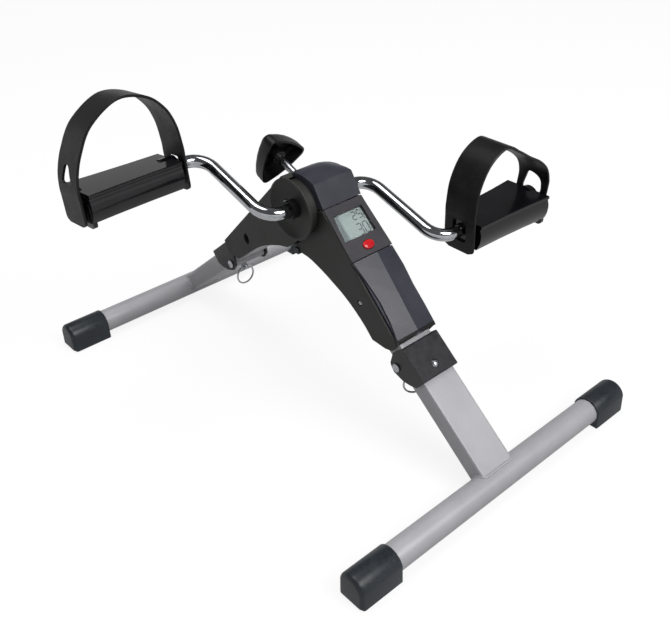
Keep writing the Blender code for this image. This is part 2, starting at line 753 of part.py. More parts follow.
def ring_axes(side, pin_turn):
    """Hole direction of a pin's eye, and the way its ring hangs from it."""
    along, up = leg_axes(side)
    turn = math.radians(pin_turn)
    hole = Vector((0.0, math.cos(turn), 0.0)) + along * math.sin(turn)
    down = Vector((0.0, 0.0, -1.0))
    hang = (down - hole * down.dot(hole)).normalized()
    return hole, hang


def eye_point(side):
    x, z = leg_point(side, PIN_S, -TUBE_H / 2 - EYE_DROP)
    return Vector((x, 0.0, z))


def lock_pin(side, word, pin_turn):
    under = -TUBE_H / 2 - GAP
    collar = under - PIN_COLLAR_T
    eye = -TUBE_H / 2 - EYE_DROP
    tip = PLATE_TOP + PIN_TIP
    end = eye - EYE_R
    profile = [(0.0, tip), (0.6 * PIN_R, tip - PIN_CROWN), (PIN_R, PLATE_TOP), (PIN_R, under)]
    profile += [(PIN_COLLAR_R, under), (PIN_COLLAR_R, collar), (EYE_R, collar)]
    profile += [(EYE_R, eye - EYE_R / 2), (EYE_R / 2, end), (0.0, end)]
    along, up = leg_axes(side)
    base = leg_point(side, PIN_S, 0.0)
    pin = turned(word + "_lock_pin", profile, (base[0], 0.0, base[1]), up, 24)
    hole, hang = ring_axes(side, pin_turn)
    centre = eye_point(side)
    frame = placed(hole, up.cross(hole), up, centre)
    room = collar - eye
    for hand in (1, -1):
        side_cut = box(f"{word}_eye_flat_{hand}", (hand * (EYE_T / 2 + EYE_R), 0.0, room / 2 - EYE_R),
                       (2 * EYE_R, 4 * EYE_R, room + 2 * EYE_R), frame, cutter=True)
        cut(pin, side_cut)
    cut(pin, rod(word + "_eye_hole", centre - hole * 2 * EYE_R, centre + hole * 2 * EYE_R, EYE_HOLE_R, 16,
                 cutter=True))
    return finish(pin, CHROME)


def pull_ring(side, word, pin_turn):
    hole, hang = ring_axes(side, pin_turn)
    bpy.ops.mesh.primitive_torus_add(major_radius=RING_R, minor_radius=RING_WIRE_R, major_segments=32,
                                     minor_segments=8)
    mesh = bpy.context.object.data
    bpy.data.objects.remove(bpy.context.object)
    centre = eye_point(side) + hang * RING_R
    return finish(linked(word + "_pull_ring", mesh, placed(hang, hole, hang.cross(hole), centre)), CHROME)


# Crank bearing and crank

def hub_bush(hand, word):
    out = BUSH_OUT[hand]
    profile = [(BUSH_R, out), (BUSH_R, BUSH_IN), (BUSH_BORE, BUSH_IN), (BUSH_BORE, out)]
    return finish(turned(word + "_hub_bush", profile, HUB, (0, hand, 0), 32, ring=True), CAP_PLASTIC)


def hub_washer(hand, word):
    start = BUSH_OUT[hand] + GAP
    profile = [(WASHER_R, start + WASHER_T), (WASHER_R, start), (BUSH_BORE, start),
               (BUSH_BORE, start + WASHER_T)]
    return finish(turned(word + "_hub_washer", profile, HUB, (0, hand, 0), 32, ring=True), CHROME)


def screw_solid(name, place, hand, seat, tip, look=CHROME):
    """A round-headed screw along Y: its head rests at seat and its shank ends at tip."""
    head = seat + SHELL_SCREW_HEAD_T
    profile = [(0.0, head), (0.6 * SHELL_SCREW_HEAD_R, head - HEAD_CROWN),
               (SHELL_SCREW_HEAD_R, seat + SHELL_SCREW_RIM),
               (SHELL_SCREW_HEAD_R, seat), (SHELL_SCREW_R, seat), (SHELL_SCREW_R, tip), (0.0, tip)]
    return finish(turned(name, profile, (place[0], 0.0, place[1]), (0, hand, 0), 16), look)


def pedal_axis(hand):
    turn = math.radians(CRANK_ANGLE)
    return Vector((hand * CRANK_R * math.cos(turn), 0.0, HUB_Z - hand * CRANK_R * math.sin(turn)))


def bent(corners, radius, steps):
    """A path with its corners bent to a radius."""
    path = [Vector(corners[0])]
    for before, corner, after in zip(corners, corners[1:], corners[2:]):
        p = Vector(corner)
        a = (Vector(before) - p).normalized()
        b = (Vector(after) - p).normalized()
        half = a.angle(b) / 2
        centre = p + (a + b).normalized() * radius / math.sin(half)
        first = p + a * radius / math.tan(half) - centre
        last = p + b * radius / math.tan(half) - centre
        sweep = first.angle(last)
        for k in range(steps + 1):
            t = k / steps
            path.append(centre + (first * math.sin((1 - t) * sweep)
                                  + last * math.sin(t * sweep)) / math.sin(sweep))
    path.append(Vector(corners[-1]))
    return path


def crank():
    left, right = pedal_axis(LEFT), pedal_axis(RIGHT)
    corners = [left - Vector((0, ROD_END, 0)), left - Vector((0, ARM_Y, 0)), HUB - Vector((0, ARM_Y, 0)),
               HUB + Vector((0, ARM_Y, 0)), right + Vector((0, ARM_Y, 0)), right + Vector((0, ROD_END, 0))]
    curve = bpy.data.curves.new("crank", "CURVE")
    curve.dimensions = "3D"
    curve.bevel_depth = ROD_R
    curve.bevel_resolution = 8
    curve.use_fill_caps = True
    path = bent(corners, BEND_R, 7)
    spline = curve.splines.new("POLY")
    spline.points.add(len(path) - 1)
    for point, place in zip(spline.points, path):
        point.co = (*place, 1.0)
    return finish(curve_to_mesh("crank", curve, Matrix.Identity(4), False), CHROME)


def brake_collar():
    profile = [(COLLAR_R, COLLAR_HALF), (COLLAR_R, -COLLAR_HALF), (BUSH_BORE, -COLLAR_HALF),
               (BUSH_BORE, COLLAR_HALF)]
    collar = turned("brake_collar", profile, HUB, (0, 1, 0), 36, ring=True)
    start = HUB + Vector((0.0, SENSOR_Y, 0.0))
    cut(collar, rod("magnet_seat", start - SENSOR_AXIS * (COLLAR_R - MAGNET_T - GAP),
                    start - SENSOR_AXIS * 2 * COLLAR_R,
                    MAGNET_R + GAP, 12, cutter=True))
    return finish(collar, STEEL_PAINT)


def sensor_magnet():
    """Set in the brake collar, opposite the sensor when the left pedal is up."""
    start = HUB + Vector((0.0, SENSOR_Y, 0.0))
    outer = COLLAR_R - GAP / 2
    return finish(rod("sensor_magnet", start - SENSOR_AXIS * (outer - MAGNET_T + GAP / 2),
                      start - SENSOR_AXIS * outer,
                      MAGNET_R, 12), STEEL_PAINT)


def speed_sensor():
    start = HUB + Vector((0.0, SENSOR_Y, 0.0)) + SENSOR_AXIS * (SLEEVE_BORE + GAP)
    return finish(rod("speed_sensor", start, start + SENSOR_AXIS * SENSOR_LENGTH, SENSOR_R, 16), CAP_PLASTIC)


# Brake

def brake_pieces():
    """Pad, shoe, screw and knob, built about the crank centre with local Z along the screw."""
    pad = rod("brake_pad", (0, 0, PAD_START), (0, 0, PAD_START + PAD_T), PAD_R, 24)
    shoe = rod("brake_shoe", (0, 0, SHOE_START), (0, 0, SHOE_START + SHOE_T), SHOE_R, 24)
    screw_end = KNOB_RIM + KNOB_DEPTH - 2 * KNOB_WALL
    profile = [(0.0, screw_end), (SCREW_R, screw_end), (SCREW_R, SCREW_START + SCREW_POINT),
               (0.7 * SCREW_R, SCREW_START),
               (0.0, SCREW_START)]
    screw = turned("tension_screw", profile, (0, 0, 0), (0, 0, 1), 24)
    for obj, look in ((pad, FELT), (shoe, STEEL_PAINT), (screw, CHROME)):
        finish(obj, look)
    return [pad, shoe], [screw] + knob_pieces(screw_end)


def knob_outline(inset=0.0):
    """Three rounded lobes, the first towards local -X, joined by slightly bulging sides."""
    lobe_r = KNOB_LOBE_R - inset
    centre = KNOB_LOBE - KNOB_LOBE_R
    tip = arc((centre, 0.0), lobe_r, -55.0, 55.0, 6)
    start = Vector(tip[-1])
    side_way = Vector((math.cos(math.radians(60)), math.sin(math.radians(60))))
    chord = start.dot(side_way)
    rise = side_way * (KNOB_SIDE - inset - chord)
    mirror = start - 2 * (start - side_way * chord)
    across = mirror - start
    bulge = [start + across * t + rise * 4 * t * (1 - t) for t in (0.25, 0.5, 0.75)]
    outline = []
    for k in range(3):
        turn = Matrix.Rotation(math.radians(180 + 120 * k), 2)
        outline += [turn @ Vector(p) for p in tip] + [turn @ p for p in bulge]
    return outline


def knob_pieces(screw_end):
    outline = knob_outline()
    levels = [(0.0, 1.0), (0.62, 0.985), (0.82, 0.94), (0.94, 0.86), (1.0, 0.74)]
    sections = [[(p.x * share, p.y * share, KNOB_RIM + KNOB_DEPTH * level) for p in outline]
                for level, share in levels]
    knob = loft("tension_knob", sections)
    inner = knob_outline(KNOB_WALL)
    floor = KNOB_DEPTH - KNOB_WALL * 1.4
    pocket_levels = [(-0.004, 1.0), (0.6 * floor, 0.985), (0.85 * floor, 0.93), (floor, 0.78)]
    pocket = loft("knob_pocket", [[(p.x * share, p.y * share, KNOB_RIM + level) for p in inner]
                                  for level, share in pocket_levels], cutter=True)
    cut(knob, pocket)
    boss = rod("knob_boss", (0, 0, KNOB_RIM + KNOB_WALL), (0, 0, KNOB_RIM + KNOB_DEPTH - KNOB_WALL / 2),
               KNOB_BOSS_R, 20, cutter=True)
    join(knob, boss)
    bore = rod("knob_bore", (0, 0, 0), (0, 0, screw_end + GAP), SCREW_R + GAP, 20, cutter=True)
    cut(knob, bore)
    finish(knob, CAP_PLASTIC)
    return [knob, pocket, boss, bore]


# Housing

def back_half(hand, s):
    """Half width of a rear shell at s along the rear leg line."""
    share = (s - BACK_TAPER_START) / (math.hypot(BAR_X, HUB_Z - BAR_Z) - BACK_TAPER_START)
    end_half = SIDE_HALF + BACK_SWELL_END
    return end_half + (BACK_HUB_HALF[hand] - end_half) * share


def back_taper(hand, word, inset):
    """Everything outside a rear shell's sloping side face, moved in by inset."""
    along, up = leg_axes(REAR)
    near, far = BACK_TAPER_START - TUBE_W, 2 * BAR_X
    outline = [(s, hand * (back_half(hand, s) - inset)) for s in (near, far)]
    outline += [(far, hand * 4 * SIDE_HALF), (near, hand * 4 * SIDE_HALF)]
    x, z = leg_point(REAR, 0.0, 0.0)
    across = Vector((0.0, 1.0, 0.0))
    matrix = placed(along, across, along.cross(across), Vector((x, 0.0, z)))
    return flat_solid(word, [outline], 10 * TUBE_W, matrix, cutter=True)


def tube_room(side, word):
    """The space that a frame tube and what swings below it take inside the housing."""
    under = 3 * TUBE_H
    top = TUBE_H / 2 + TUBE_ROOM
    slope_top = leg_point(side, (BAR_X - ARCH_HALF) / COS, 0.0)[1] + top / COS
    outline = [(side * ARCH_HALF, slope_top - 5 * TUBE_H), (side * ARCH_HALF, slope_top),
               leg_point(side, STUB_START, top), leg_point(side, STUB_START, -under)]
    half = TUBE_W / 2 + TUBE_ROOM
    return side_solid(word, outline, -half, half, cutter=True)


def crown_drop(y):
    """How far the crowned top has come down at y: as a circle to the right, flatter to the left."""
    if y > 0:
        return CROWN_R - math.sqrt(CROWN_R ** 2 - y ** 2)
    return CROWN_NEAR_DROP * (y / TOP_HALF) ** 2


def crown_solid(name, ridge, y0, y1, to_z):
    """A solid between the crowned top along a ridge line and the height to_z."""
    ys = [y0 + (y1 - y0) * i / CROWN_STEPS for i in range(CROWN_STEPS + 1)]
    sections = [[(x, y, z - share * crown_drop(y)) for y in ys] + [(x, y1, to_z), (x, y0, to_z)]
                for x, z, share in ridge]
    return loft(name, sections, cutter=True)


def neck_solids(hand, word):
    """The round crank boss: on the left a neck with a disc, on the right a low step."""
    start = (0.0, hand * SIDE_IN, HUB_Z)
    face = (0.0, hand * BOSS_FACE[hand], HUB_Z)
    if hand == LEFT:
        disc = rod(word + "_disc", (0.0, hand * (DISC_FACE - DISC_T), HUB_Z), face, DISC_R, 48, cutter=True)
        soften(disc, BOSS_BEVEL, 2, 60.0)
        return [rod(word + "_neck", start, (0.0, hand * (DISC_FACE - DISC_T / 2), HUB_Z), NECK_R, 48,
                    cutter=True), disc]
    boss = rod(word + "_boss", start, face, FAR_BOSS_R, 48, cutter=True)
    soften(boss, BOSS_BEVEL, 2, 60.0)
    return [rod(word + "_neck", start, (0.0, hand * FAR_NECK_FACE, HUB_Z), NECK_R, 48, cutter=True), boss]


def rear_shell(hand, word):
    arch = smooth(BACK_ARCH, 3)
    outline = [BACK_CREASE, BACK_STEP, BACK_END_TOP, BACK_END[0]] + arch + SIDE_SEAM + [NECK_JOINTS[0]]
    name = word + "_rear_shell"
    shell = side_solid(name, outline, hand * SEAM / 2, hand * (max(BACK_HUB_HALF.values()) + DISC_T))
    soften(shell, SHELL_BEVEL, 1, 25.0)
    cut(shell, back_taper(hand, word + "_side_face", 0.0))
    crown_side = BACK_HUB_HALF[RIGHT] + SHELL_WALL
    if hand == RIGHT:
        ridge = [(x, z + GAP * (1.0 - share), share) for x, z, share in CROWN[:4]]
        cut(shell, crown_solid(word + "_crown", ridge, 0.0, crown_side, CREST[1] + TUBE_H))

    arch_in = shifted(arch, SHELL_WALL)
    length = math.dist(BACK_END_TOP, BACK_STEP)
    step_in = on_face(BACK_END_TOP, BACK_STEP, length, SHELL_WALL)
    end_in = on_face(BACK_END_TOP, BACK_STEP, -TUBE_H, SHELL_WALL)
    hollow_outline = [(STEP[0], BACK_CREASE[1]), (BACK_CREASE[0], BACK_CREASE[1] - 1.5 * SHELL_WALL), step_in,
                      end_in,
                      (BACK_END_TOP[0] - TUBE_H, BACK_END[0][1] - TUBE_H / 2),
                      (BACK_END[1][0] - 2 * SHELL_WALL, BACK_END[1][1] + SHELL_WALL)] + arch_in
    hollow_outline += [(STEP[0], arch_in[-1][1])]
    hollow = side_solid(word + "_rear_hollow", hollow_outline, -hand * 2 * SEAM, hand * 2 * SIDE_HALF,
                        cutter=True)
    cut(hollow, back_taper(hand, word + "_inner_face", SHELL_WALL))
    if hand == RIGHT:
        inner_ridge = [(x, z - 1.5 * SHELL_WALL, share) for x, z, share in CROWN[:4]]
        inner_ridge[0] = (CROWN[0][0], CROWN[0][1] + TUBE_H, 0.0)
        inner_ridge.append((STEP[0], CREST[1], 1.0))
        cut(hollow, crown_solid(word + "_inner_crown", inner_ridge, 0.0, crown_side, CREST[1] + TUBE_H))
    core = rod(word + "_boss_core", (0.0, hand * SIDE_IN, HUB_Z), (0.0, hand * 3 * SIDE_HALF, HUB_Z),
               NECK_R, 40, cutter=True)
    cut(hollow, core)
    cut(shell, hollow, tube_room(REAR, word + "_rear_tube_room"))

    join(shell, *neck_solids(hand, word))
    face = BOSS_FACE[hand]
    profile = [(0.0, face + TUBE_H), (DISHES[hand][0][0], face + TUBE_H)]
    profile += [(r, face - depth) for r, depth in DISHES[hand]]
    profile += [(SLEEVE_BORE, DISH_FLOOR[hand]), (SLEEVE_BORE, 0.0), (0.0, 0.0)]
    cut(shell, turned(word + "_dish", profile, HUB, (0, hand, 0), 48, cutter=True))
    for i, place in enumerate(hub_screw_places()):
        cut(shell, rod(f"{word}_floor_hole_{i}", (place[0], 0.0, place[1]),
                       (place[0], hand * 2 * DISC_FACE, place[1]),
                       SHELL_SCREW_R + GAP, 12, cutter=True))

    x, z = BACK_SCREW
    boss_end = hand * (back_half(hand, (BAR_X + x) * COS + (z - BAR_Z) * SIN) - SHELL_WALL / 2)
    boss = rod(word + "_rear_screw_boss", (x, hand * (TUBE_W / 2 + SEAM), z), (x, boss_end, z),
               BACK_POCKET_Z + SHELL_WALL / 2, 24, cutter=True)
    join(shell, boss)
    pocket = [(x + BACK_POCKET_X * a, z + BACK_POCKET_Z * b) for a, b in arc((0.0, 0.0), 1.0, 0.0, 345.0, 23)]
    cut(shell, side_solid(word + "_rear_pocket", pocket, hand * back_screw_seat(), hand * 2 * SIDE_HALF,
                          cutter=True))
    cut(shell, rod(word + "_rear_screw_way", (x, 0.0, z), (x, hand * 2 * SIDE_HALF, z), SHELL_SCREW_R + GAP,
                   12, cutter=True))
    way = rod(word + "_screw_way", HUB, HUB + BRAKE_AXIS * 4 * NUT_BOSS_R, SCREW_R + 2 * SEAM, 20,
              cutter=True)
    cut(shell, way)
    return finish(shell, SHELL_PLASTIC)


def back_screw_seat():
    return TUBE_W / 2 + TUBE_ROOM + SEAM + SHELL_WALL / 2


def front_screw_seat():
    return SIDE_IN + GAP


def front_shell(hand, word):
    name = word + "_front_shell"
    arch = smooth(FRONT_ARCH, 3)
    seam = [(x + SEAM, z) for x, z in reversed([BACK_ARCH[-1]] + SIDE_SEAM)]
    top = [on_face(JOINT, END_TOP, COVER_LENGTH, SHELL_EDGE_DROP),
           on_face(JOINT, END_TOP, 0.0, SHELL_EDGE_DROP),
           on_face(STEP, JOINT, CASE_LENGTH, CASE_FLANGE + GAP),
           on_face(STEP, JOINT, SEAM, CASE_FLANGE + GAP)]
    outline = arch + FRONT_END + top + [NECK_JOINTS[1]] + seam
    shell = side_solid(name, outline, hand * SEAM / 2, hand * SIDE_HALF)
    soften(shell, SHELL_BEVEL, 1, 25.0)
    arch_in = shifted(arch, SHELL_WALL)
    floor = FRONT_END[0][1] + SHELL_WALL
    top_z = CREST[1] + TUBE_H
    room = [(-TUBE_H, BACK_ARCH[-1][1] + 3 * SHELL_WALL)] + arch_in
    room += [(FRONT_ARCH[-1][0] + SHELL_WALL, floor), (BAR_X, floor), (BAR_X, top_z), (-TUBE_H, top_z)]
    cut(shell, side_solid(word + "_front_hollow", room, -hand * 2 * SEAM, hand * SIDE_IN, cutter=True))
    cut(shell, tube_room(FRONT, word + "_front_tube_room"))
    cut(shell, rod(word + "_neck_room", (0.0, 0.0, HUB_Z), (0.0, hand * 2 * SIDE_HALF, HUB_Z), NECK_R + SEAM,
                   48, cutter=True))
    x, z = FRONT_SCREW
    boss = rod(word + "_front_screw_boss", (x, hand * (TUBE_W / 2 + SEAM), z),
               (x, hand * (SIDE_IN + SHELL_WALL / 2), z),
               1.6 * SHELL_SCREW_HEAD_R, 20, cutter=True)
    join(shell, boss)
    cut(shell, rod(word + "_front_pocket", (x, hand * front_screw_seat(), z), (x, hand * 2 * SIDE_HALF, z),
                   SHELL_SCREW_HEAD_R + GAP, 20, cutter=True))
    cut(shell, rod(word + "_front_screw_way", (x, 0.0, z), (x, hand * 2 * SIDE_HALF, z), SHELL_SCREW_R + GAP,
                   12, cutter=True))
    return finish(shell, SHELL_PLASTIC)


def top_cover():
    facet = math.dist(CREASE, STEP)
    back = (BACK_CREASE[0] + SEAM, BACK_CREASE[1])
    high = CREST[1] + SHELL_WALL
    front = [on_face(CREASE, STEP, facet - SEAM, depth) for depth in (-SHELL_WALL, SHELL_WALL)]
    outline = [back, (back[0], high), (CREASE[0] + SHELL_WALL, high), *front,
               (NECK_JOINTS[1][0], NECK_JOINTS[1][1] + 2 * SEAM),
               (NECK_JOINTS[0][0] + SEAM, NECK_JOINTS[0][1])]
    cover = side_solid("top_cover", outline, -TOP_HALF, TOP_HALF)
    combine(cover, crown_solid("cover_crown", CROWN, -TUBE_W, TUBE_W, 0.0), "INTERSECT")
    inside = [(x, z - SHELL_WALL, share) for x, z, share in CROWN[:-2]]
    inside += [(*on_face(CREASE, STEP, u, SHELL_WALL), 0.0) for u in (0.0, facet)]
    half = TOP_HALF - SHELL_WALL
    cut(cover, crown_solid("cover_hollow", inside, -half, half, 0.0))
    cut(cover, rod("cover_neck_room", (0.0, -2 * SIDE_HALF, HUB_Z), (0.0, 2 * SIDE_HALF, HUB_Z),
                   NECK_R + SEAM, 48, cutter=True))
    return finish(cover, COVER_PLASTIC)


def display_case():
    length = CASE_LENGTH
    place = face_matrix(STEP, JOINT, 0.0)
    ends = [(GAP, TOP_HALF - GAP), (length - GAP, SIDE_HALF + CASE_OVERHANG)]
    case = loft("display_case", [[(u, -w, 0.0), (u, w, 0.0), (u, w, -CASE_FLANGE), (u, -w, -CASE_FLANGE)]
                                 for u, w in ends], place)
    body_mid = (CASE_FLANGE / 2 + CASE_DEPTH) / 2
    body = box("case_body", (length / 2, 0.0, -body_mid),
               (length - 4 * GAP, 2 * CASE_BODY_HALF, CASE_DEPTH - CASE_FLANGE / 2),
               place, cutter=True)
    join(case, body)
    inner_half = CASE_BODY_HALF - CASE_WALL
    hollow = box("case_hollow", (length / 2, 0.0, -(CASE_FACE_T + CASE_DEPTH)),
                 (length - 2 * CASE_WALL, 2 * inner_half, 2 * CASE_DEPTH), place, cutter=True)
    cut(case, hollow)
    cut(case, flat_solid("window_hole", [rounded(WINDOW, WINDOW_CORNER, 2)], 2 * CASE_DEPTH, place,
                         cutter=True))
    cut(case, flat_solid("button_hole", [button_outline(GAP)], 2 * CASE_DEPTH, place, cutter=True))
    return finish(case, COVER_PLASTIC)


def button_outline(grow=0.0):
    u, y = BUTTON_PLACE
    a, b = BUTTON_WIDTH / 2 + grow, BUTTON_LENGTH / 2 + grow
    angles = [2 * math.pi * i / 24 for i in range(24)]
    return [(u + a * math.cos(t), y + b * math.sin(t)) for t in angles]


def display_inside():
    inner_half = CASE_BODY_HALF - CASE_WALL - GAP
    lens_place = face_matrix(STEP, JOINT, CASE_FACE_T - LENS_T / 2)
    window = [Vector(p) for p in WINDOW]
    middle = sum(window, Vector((0.0, 0.0))) / len(window)
    lens_outline = [tuple(p + (middle - p).normalized() * LENS_INSET) for p in window]
    lens = flat_solid("display_lens", [rounded(lens_outline, WINDOW_CORNER, 2)], LENS_T, lens_place)
    lcd_top = CASE_FACE_T + GAP
    board_top = lcd_top + LCD_T + GAP
    place = face_matrix(STEP, JOINT, 0.0)
    lcd = box("lcd_panel", ((LCD_START + LCD_END) / 2, 0.0, -lcd_top - LCD_T / 2),
              (LCD_END - LCD_START, 2 * inner_half, LCD_T), place)
    board = box("circuit_board", ((BOARD_START + BOARD_END) / 2, 0.0, -board_top - BOARD_T / 2),
                (BOARD_END - BOARD_START, 2 * inner_half, BOARD_T), place)
    cell_top = board_top + BOARD_T + GAP
    u, y = BATTERY_PLACE
    cell = rod("battery", place @ Vector((u, y, -cell_top)), place @ Vector((u, y, -cell_top - BATTERY_T)),
               BATTERY_R, 24)
    button_bottom = board_top - BUTTON_TRAVEL - GAP
    thickness = BUTTON_PROUD + button_bottom
    button = flat_solid("reset_button", [button_outline()], thickness,
                        face_matrix(STEP, JOINT, thickness / 2 - BUTTON_PROUD))
    soften(button, BUTTON_BEVEL, 2, 60.0)
    for obj, look in ((lens, CLEAR_PLASTIC), (lcd, LCD_GLASS), (board, BOARD_GREEN), (cell, CHROME),
                      (button, RED_PLASTIC)):
        finish(obj, look)
    return button


def front_cover():
    length = COVER_LENGTH
    place = face_matrix(JOINT, END_TOP, 0.0)
    sections = []
    for i, half in enumerate(PANEL_HALVES):
        share = i / (len(PANEL_HALVES) - 1)
        u = SEAM + (length - 2 * SEAM) * share
        ridge = PANEL_RIDGE_TOP + (PANEL_RIDGE_END - PANEL_RIDGE_TOP) * share
        sections.append([(u, -half, 0.0), (u, ridge, PANEL_RIDGE), (u, half, 0.0), (u, half, -PANEL_T),
                         (u, -half, -PANEL_T)])
    cover = loft("front_cover", sections, place)
    depth = COVER_DEPTH - PANEL_T / 2
    base = box("cover_base", (length / 2, 0.0, -(PANEL_T / 2 + depth / 2)),
               (length - 4 * SEAM, 2 * CASE_BODY_HALF, depth),
               place, cutter=True)
    join(cover, base)
    half = CASE_BODY_HALF - COVER_WALL
    room = box("cover_room", (length / 2, 0.0, -(PANEL_T + COVER_WALL + COVER_DEPTH)),
               (length - 4 * COVER_WALL, 2 * half, 2 * COVER_DEPTH), place, cutter=True)
    cut(cover, room, tube_room(FRONT, "cover_tube_room"))
    return finish(cover, COVER_PLASTIC)


def housing_clip():
    """An L clip round the lower edge of the left front shell."""
    low = FRONT_ARCH[0][1]
    outer, inner = SIDE_HALF + GAP, SIDE_IN - GAP
    floor = low - 2 * GAP
    outline = [(-outer - CLIP_T, floor - CLIP_T), (-inner, floor - CLIP_T), (-inner, floor), (-outer, floor),
               (-outer, floor + CLIP_RISE), (-outer - CLIP_T, floor + CLIP_RISE)]
    matrix = placed(Vector((0, 1, 0)), Vector((0, 0, 1)), Vector((1, 0, 0)),
                    Vector((CLIP_X + CLIP_WIDTH / 2, 0.0, 0.0)))
    return finish(flat_solid("housing_clip", [outline], CLIP_WIDTH, matrix), CAP_PLASTIC)


# Pedals and straps

def pedal_section(half):
    """Half width is half; a rounded rib along the top edge and a swelling side below it."""
    right = [(half - inset, PEDAL_TOP - depth) for inset, depth in PEDAL_RIB]
    right += [(half - inset, -share * PEDAL_BOTTOM) for inset, share in PEDAL_SIDE]
    return [(-x, z) for x, z in reversed(right)] + right


def pedal_pieces(hand, word, points, bulge):
    """Pedal, strap and nut about the pedal axis. Pieces with their cutters are returned."""
    body = loft(word + "_pedal", [[(x, hand * (PEDAL_IN + PEDAL_LENGTH * share), z) for x,
                                   z in pedal_section(half)]
                                  for share, half in PEDAL_PLAN])
    flange_corners = [(-FLANGE_HALF, -FLANGE_LOW), (FLANGE_HALF, -FLANGE_LOW), (FLANGE_HALF, 0.0),
                      (-FLANGE_HALF, 0.0)]
    flange = side_solid(word + "_flange", rounded(flange_corners, FLANGE_CORNER, 4),
                        hand * (PEDAL_OUT - FLANGE_T),
                        hand * (PEDAL_OUT + GAP), cutter=True)
    lug = rod(word + "_lug", (0, hand * (PEDAL_OUT - FLANGE_T), 0), (0, hand * LUG_OUT, 0), LUG_R, 36,
              cutter=True)
    collar = rod(word + "_inner_collar", (0, hand * INNER_COLLAR_END, 0), (0, hand * (PEDAL_IN + LUG_R), 0),
                 INNER_COLLAR_R, 32, cutter=True)
    bore = rod(word + "_pedal_bore", (0, 0, 0), (0, hand * 2 * LUG_OUT, 0), ROD_R + GAP, 28, cutter=True)
    join(body, flange, lug, collar)
    cut(body, bore)
    made = [body, flange, lug, collar, bore]

    outer = [(STRAP_OUT, -STRAP_FOOT - SEAM), (STRAP_OUT, 0.0), (STRAP_OUT + bulge, LUG_R)]
    inner = [(STRAP_IN, INNER_COLLAR_R), (STRAP_IN, 0.0), (STRAP_IN, -STRAP_FOOT - SEAM)]
    between = [(STRAP_IN + share * (STRAP_OUT - STRAP_IN), height) for share, height in points]
    line = smooth(outer + between + inner, 3)
    half = STRAP_T / 2
    band = [(hand * y, z) for y, z in shifted(line, half) + list(reversed(shifted(line, -half)))]
    matrix = placed(Vector((0, 1, 0)), Vector((0, 0, 1)), Vector((1, 0, 0)), Vector((0, 0, 0)))
    strap = flat_solid(word + "_strap", [band], STRAP_W, matrix)
    turn, wide = STRAP_W / 2 + SEAM - STRAP_FOOT_CORNER, -STRAP_FOOT + STRAP_FOOT_CORNER
    feet = arc((-turn, wide), STRAP_FOOT_CORNER, 180.0, 270.0, 5)
    feet += arc((turn, wide), STRAP_FOOT_CORNER, 270.0, 360.0, 5)
    feet += [(STRAP_W, wide), (STRAP_W, 2 * PEDAL_OUT), (-STRAP_W, 2 * PEDAL_OUT), (-STRAP_W, wide)]
    shape = side_solid(word + "_strap_feet", feet, 0.0, hand * 2 * LUG_OUT, cutter=True)
    combine(strap, shape, "INTERSECT")
    waist = STRAP_HOLE_HALF
    hole_outline = rounded([(-waist, STRAP_HOLE_LOW), (waist, STRAP_HOLE_LOW), (0.3 * waist, STRAP_HOLE_HIGH),
                            (-0.3 * waist, STRAP_HOLE_HIGH)],
                           [0.6 * waist, 0.6 * waist, 0.25 * waist, 0.25 * waist], 3)
    hole = side_solid(word + "_strap_hole", hole_outline, hand * 0.5 * (PEDAL_IN + PEDAL_OUT),
                      hand * 2 * LUG_OUT, cutter=True)
    slot_outline = rounded([(-STRAP_SLOT_HALF, -ROD_R - 10 * GAP), (STRAP_SLOT_HALF, -ROD_R - 10 * GAP),
                            (STRAP_SLOT_HALF, STRAP_SLOT_HIGH),
                            (-STRAP_SLOT_HALF, STRAP_SLOT_HIGH)], 8 * GAP, 2)
    slot = side_solid(word + "_strap_slot", slot_outline, 0.0, hand * PEDAL_IN, cutter=True)
    cut(strap, hole, slot)
    made += [strap, shape, hole, slot]

    start = ROD_END + GAP
    nut_end = LUG_OUT - NUT_INSET
    nut = rod(word + "_axle_nut", (0, hand * start, 0), (0, hand * nut_end, 0), NUT_R, 24)
    groove = box(word + "_nut_slot", (0, hand * nut_end, 0), (2.4 * NUT_R, 2 * NUT_SLOT_DEPTH, NUT_SLOT_W),
                 cutter=True)
    cut(nut, groove)
    made += [nut, groove]
    for obj, look in ((body, PEDAL_PLASTIC), (strap, STRAP_RUBBER), (nut, CHROME)):
        finish(obj, look)
    return made


# The whole exerciser

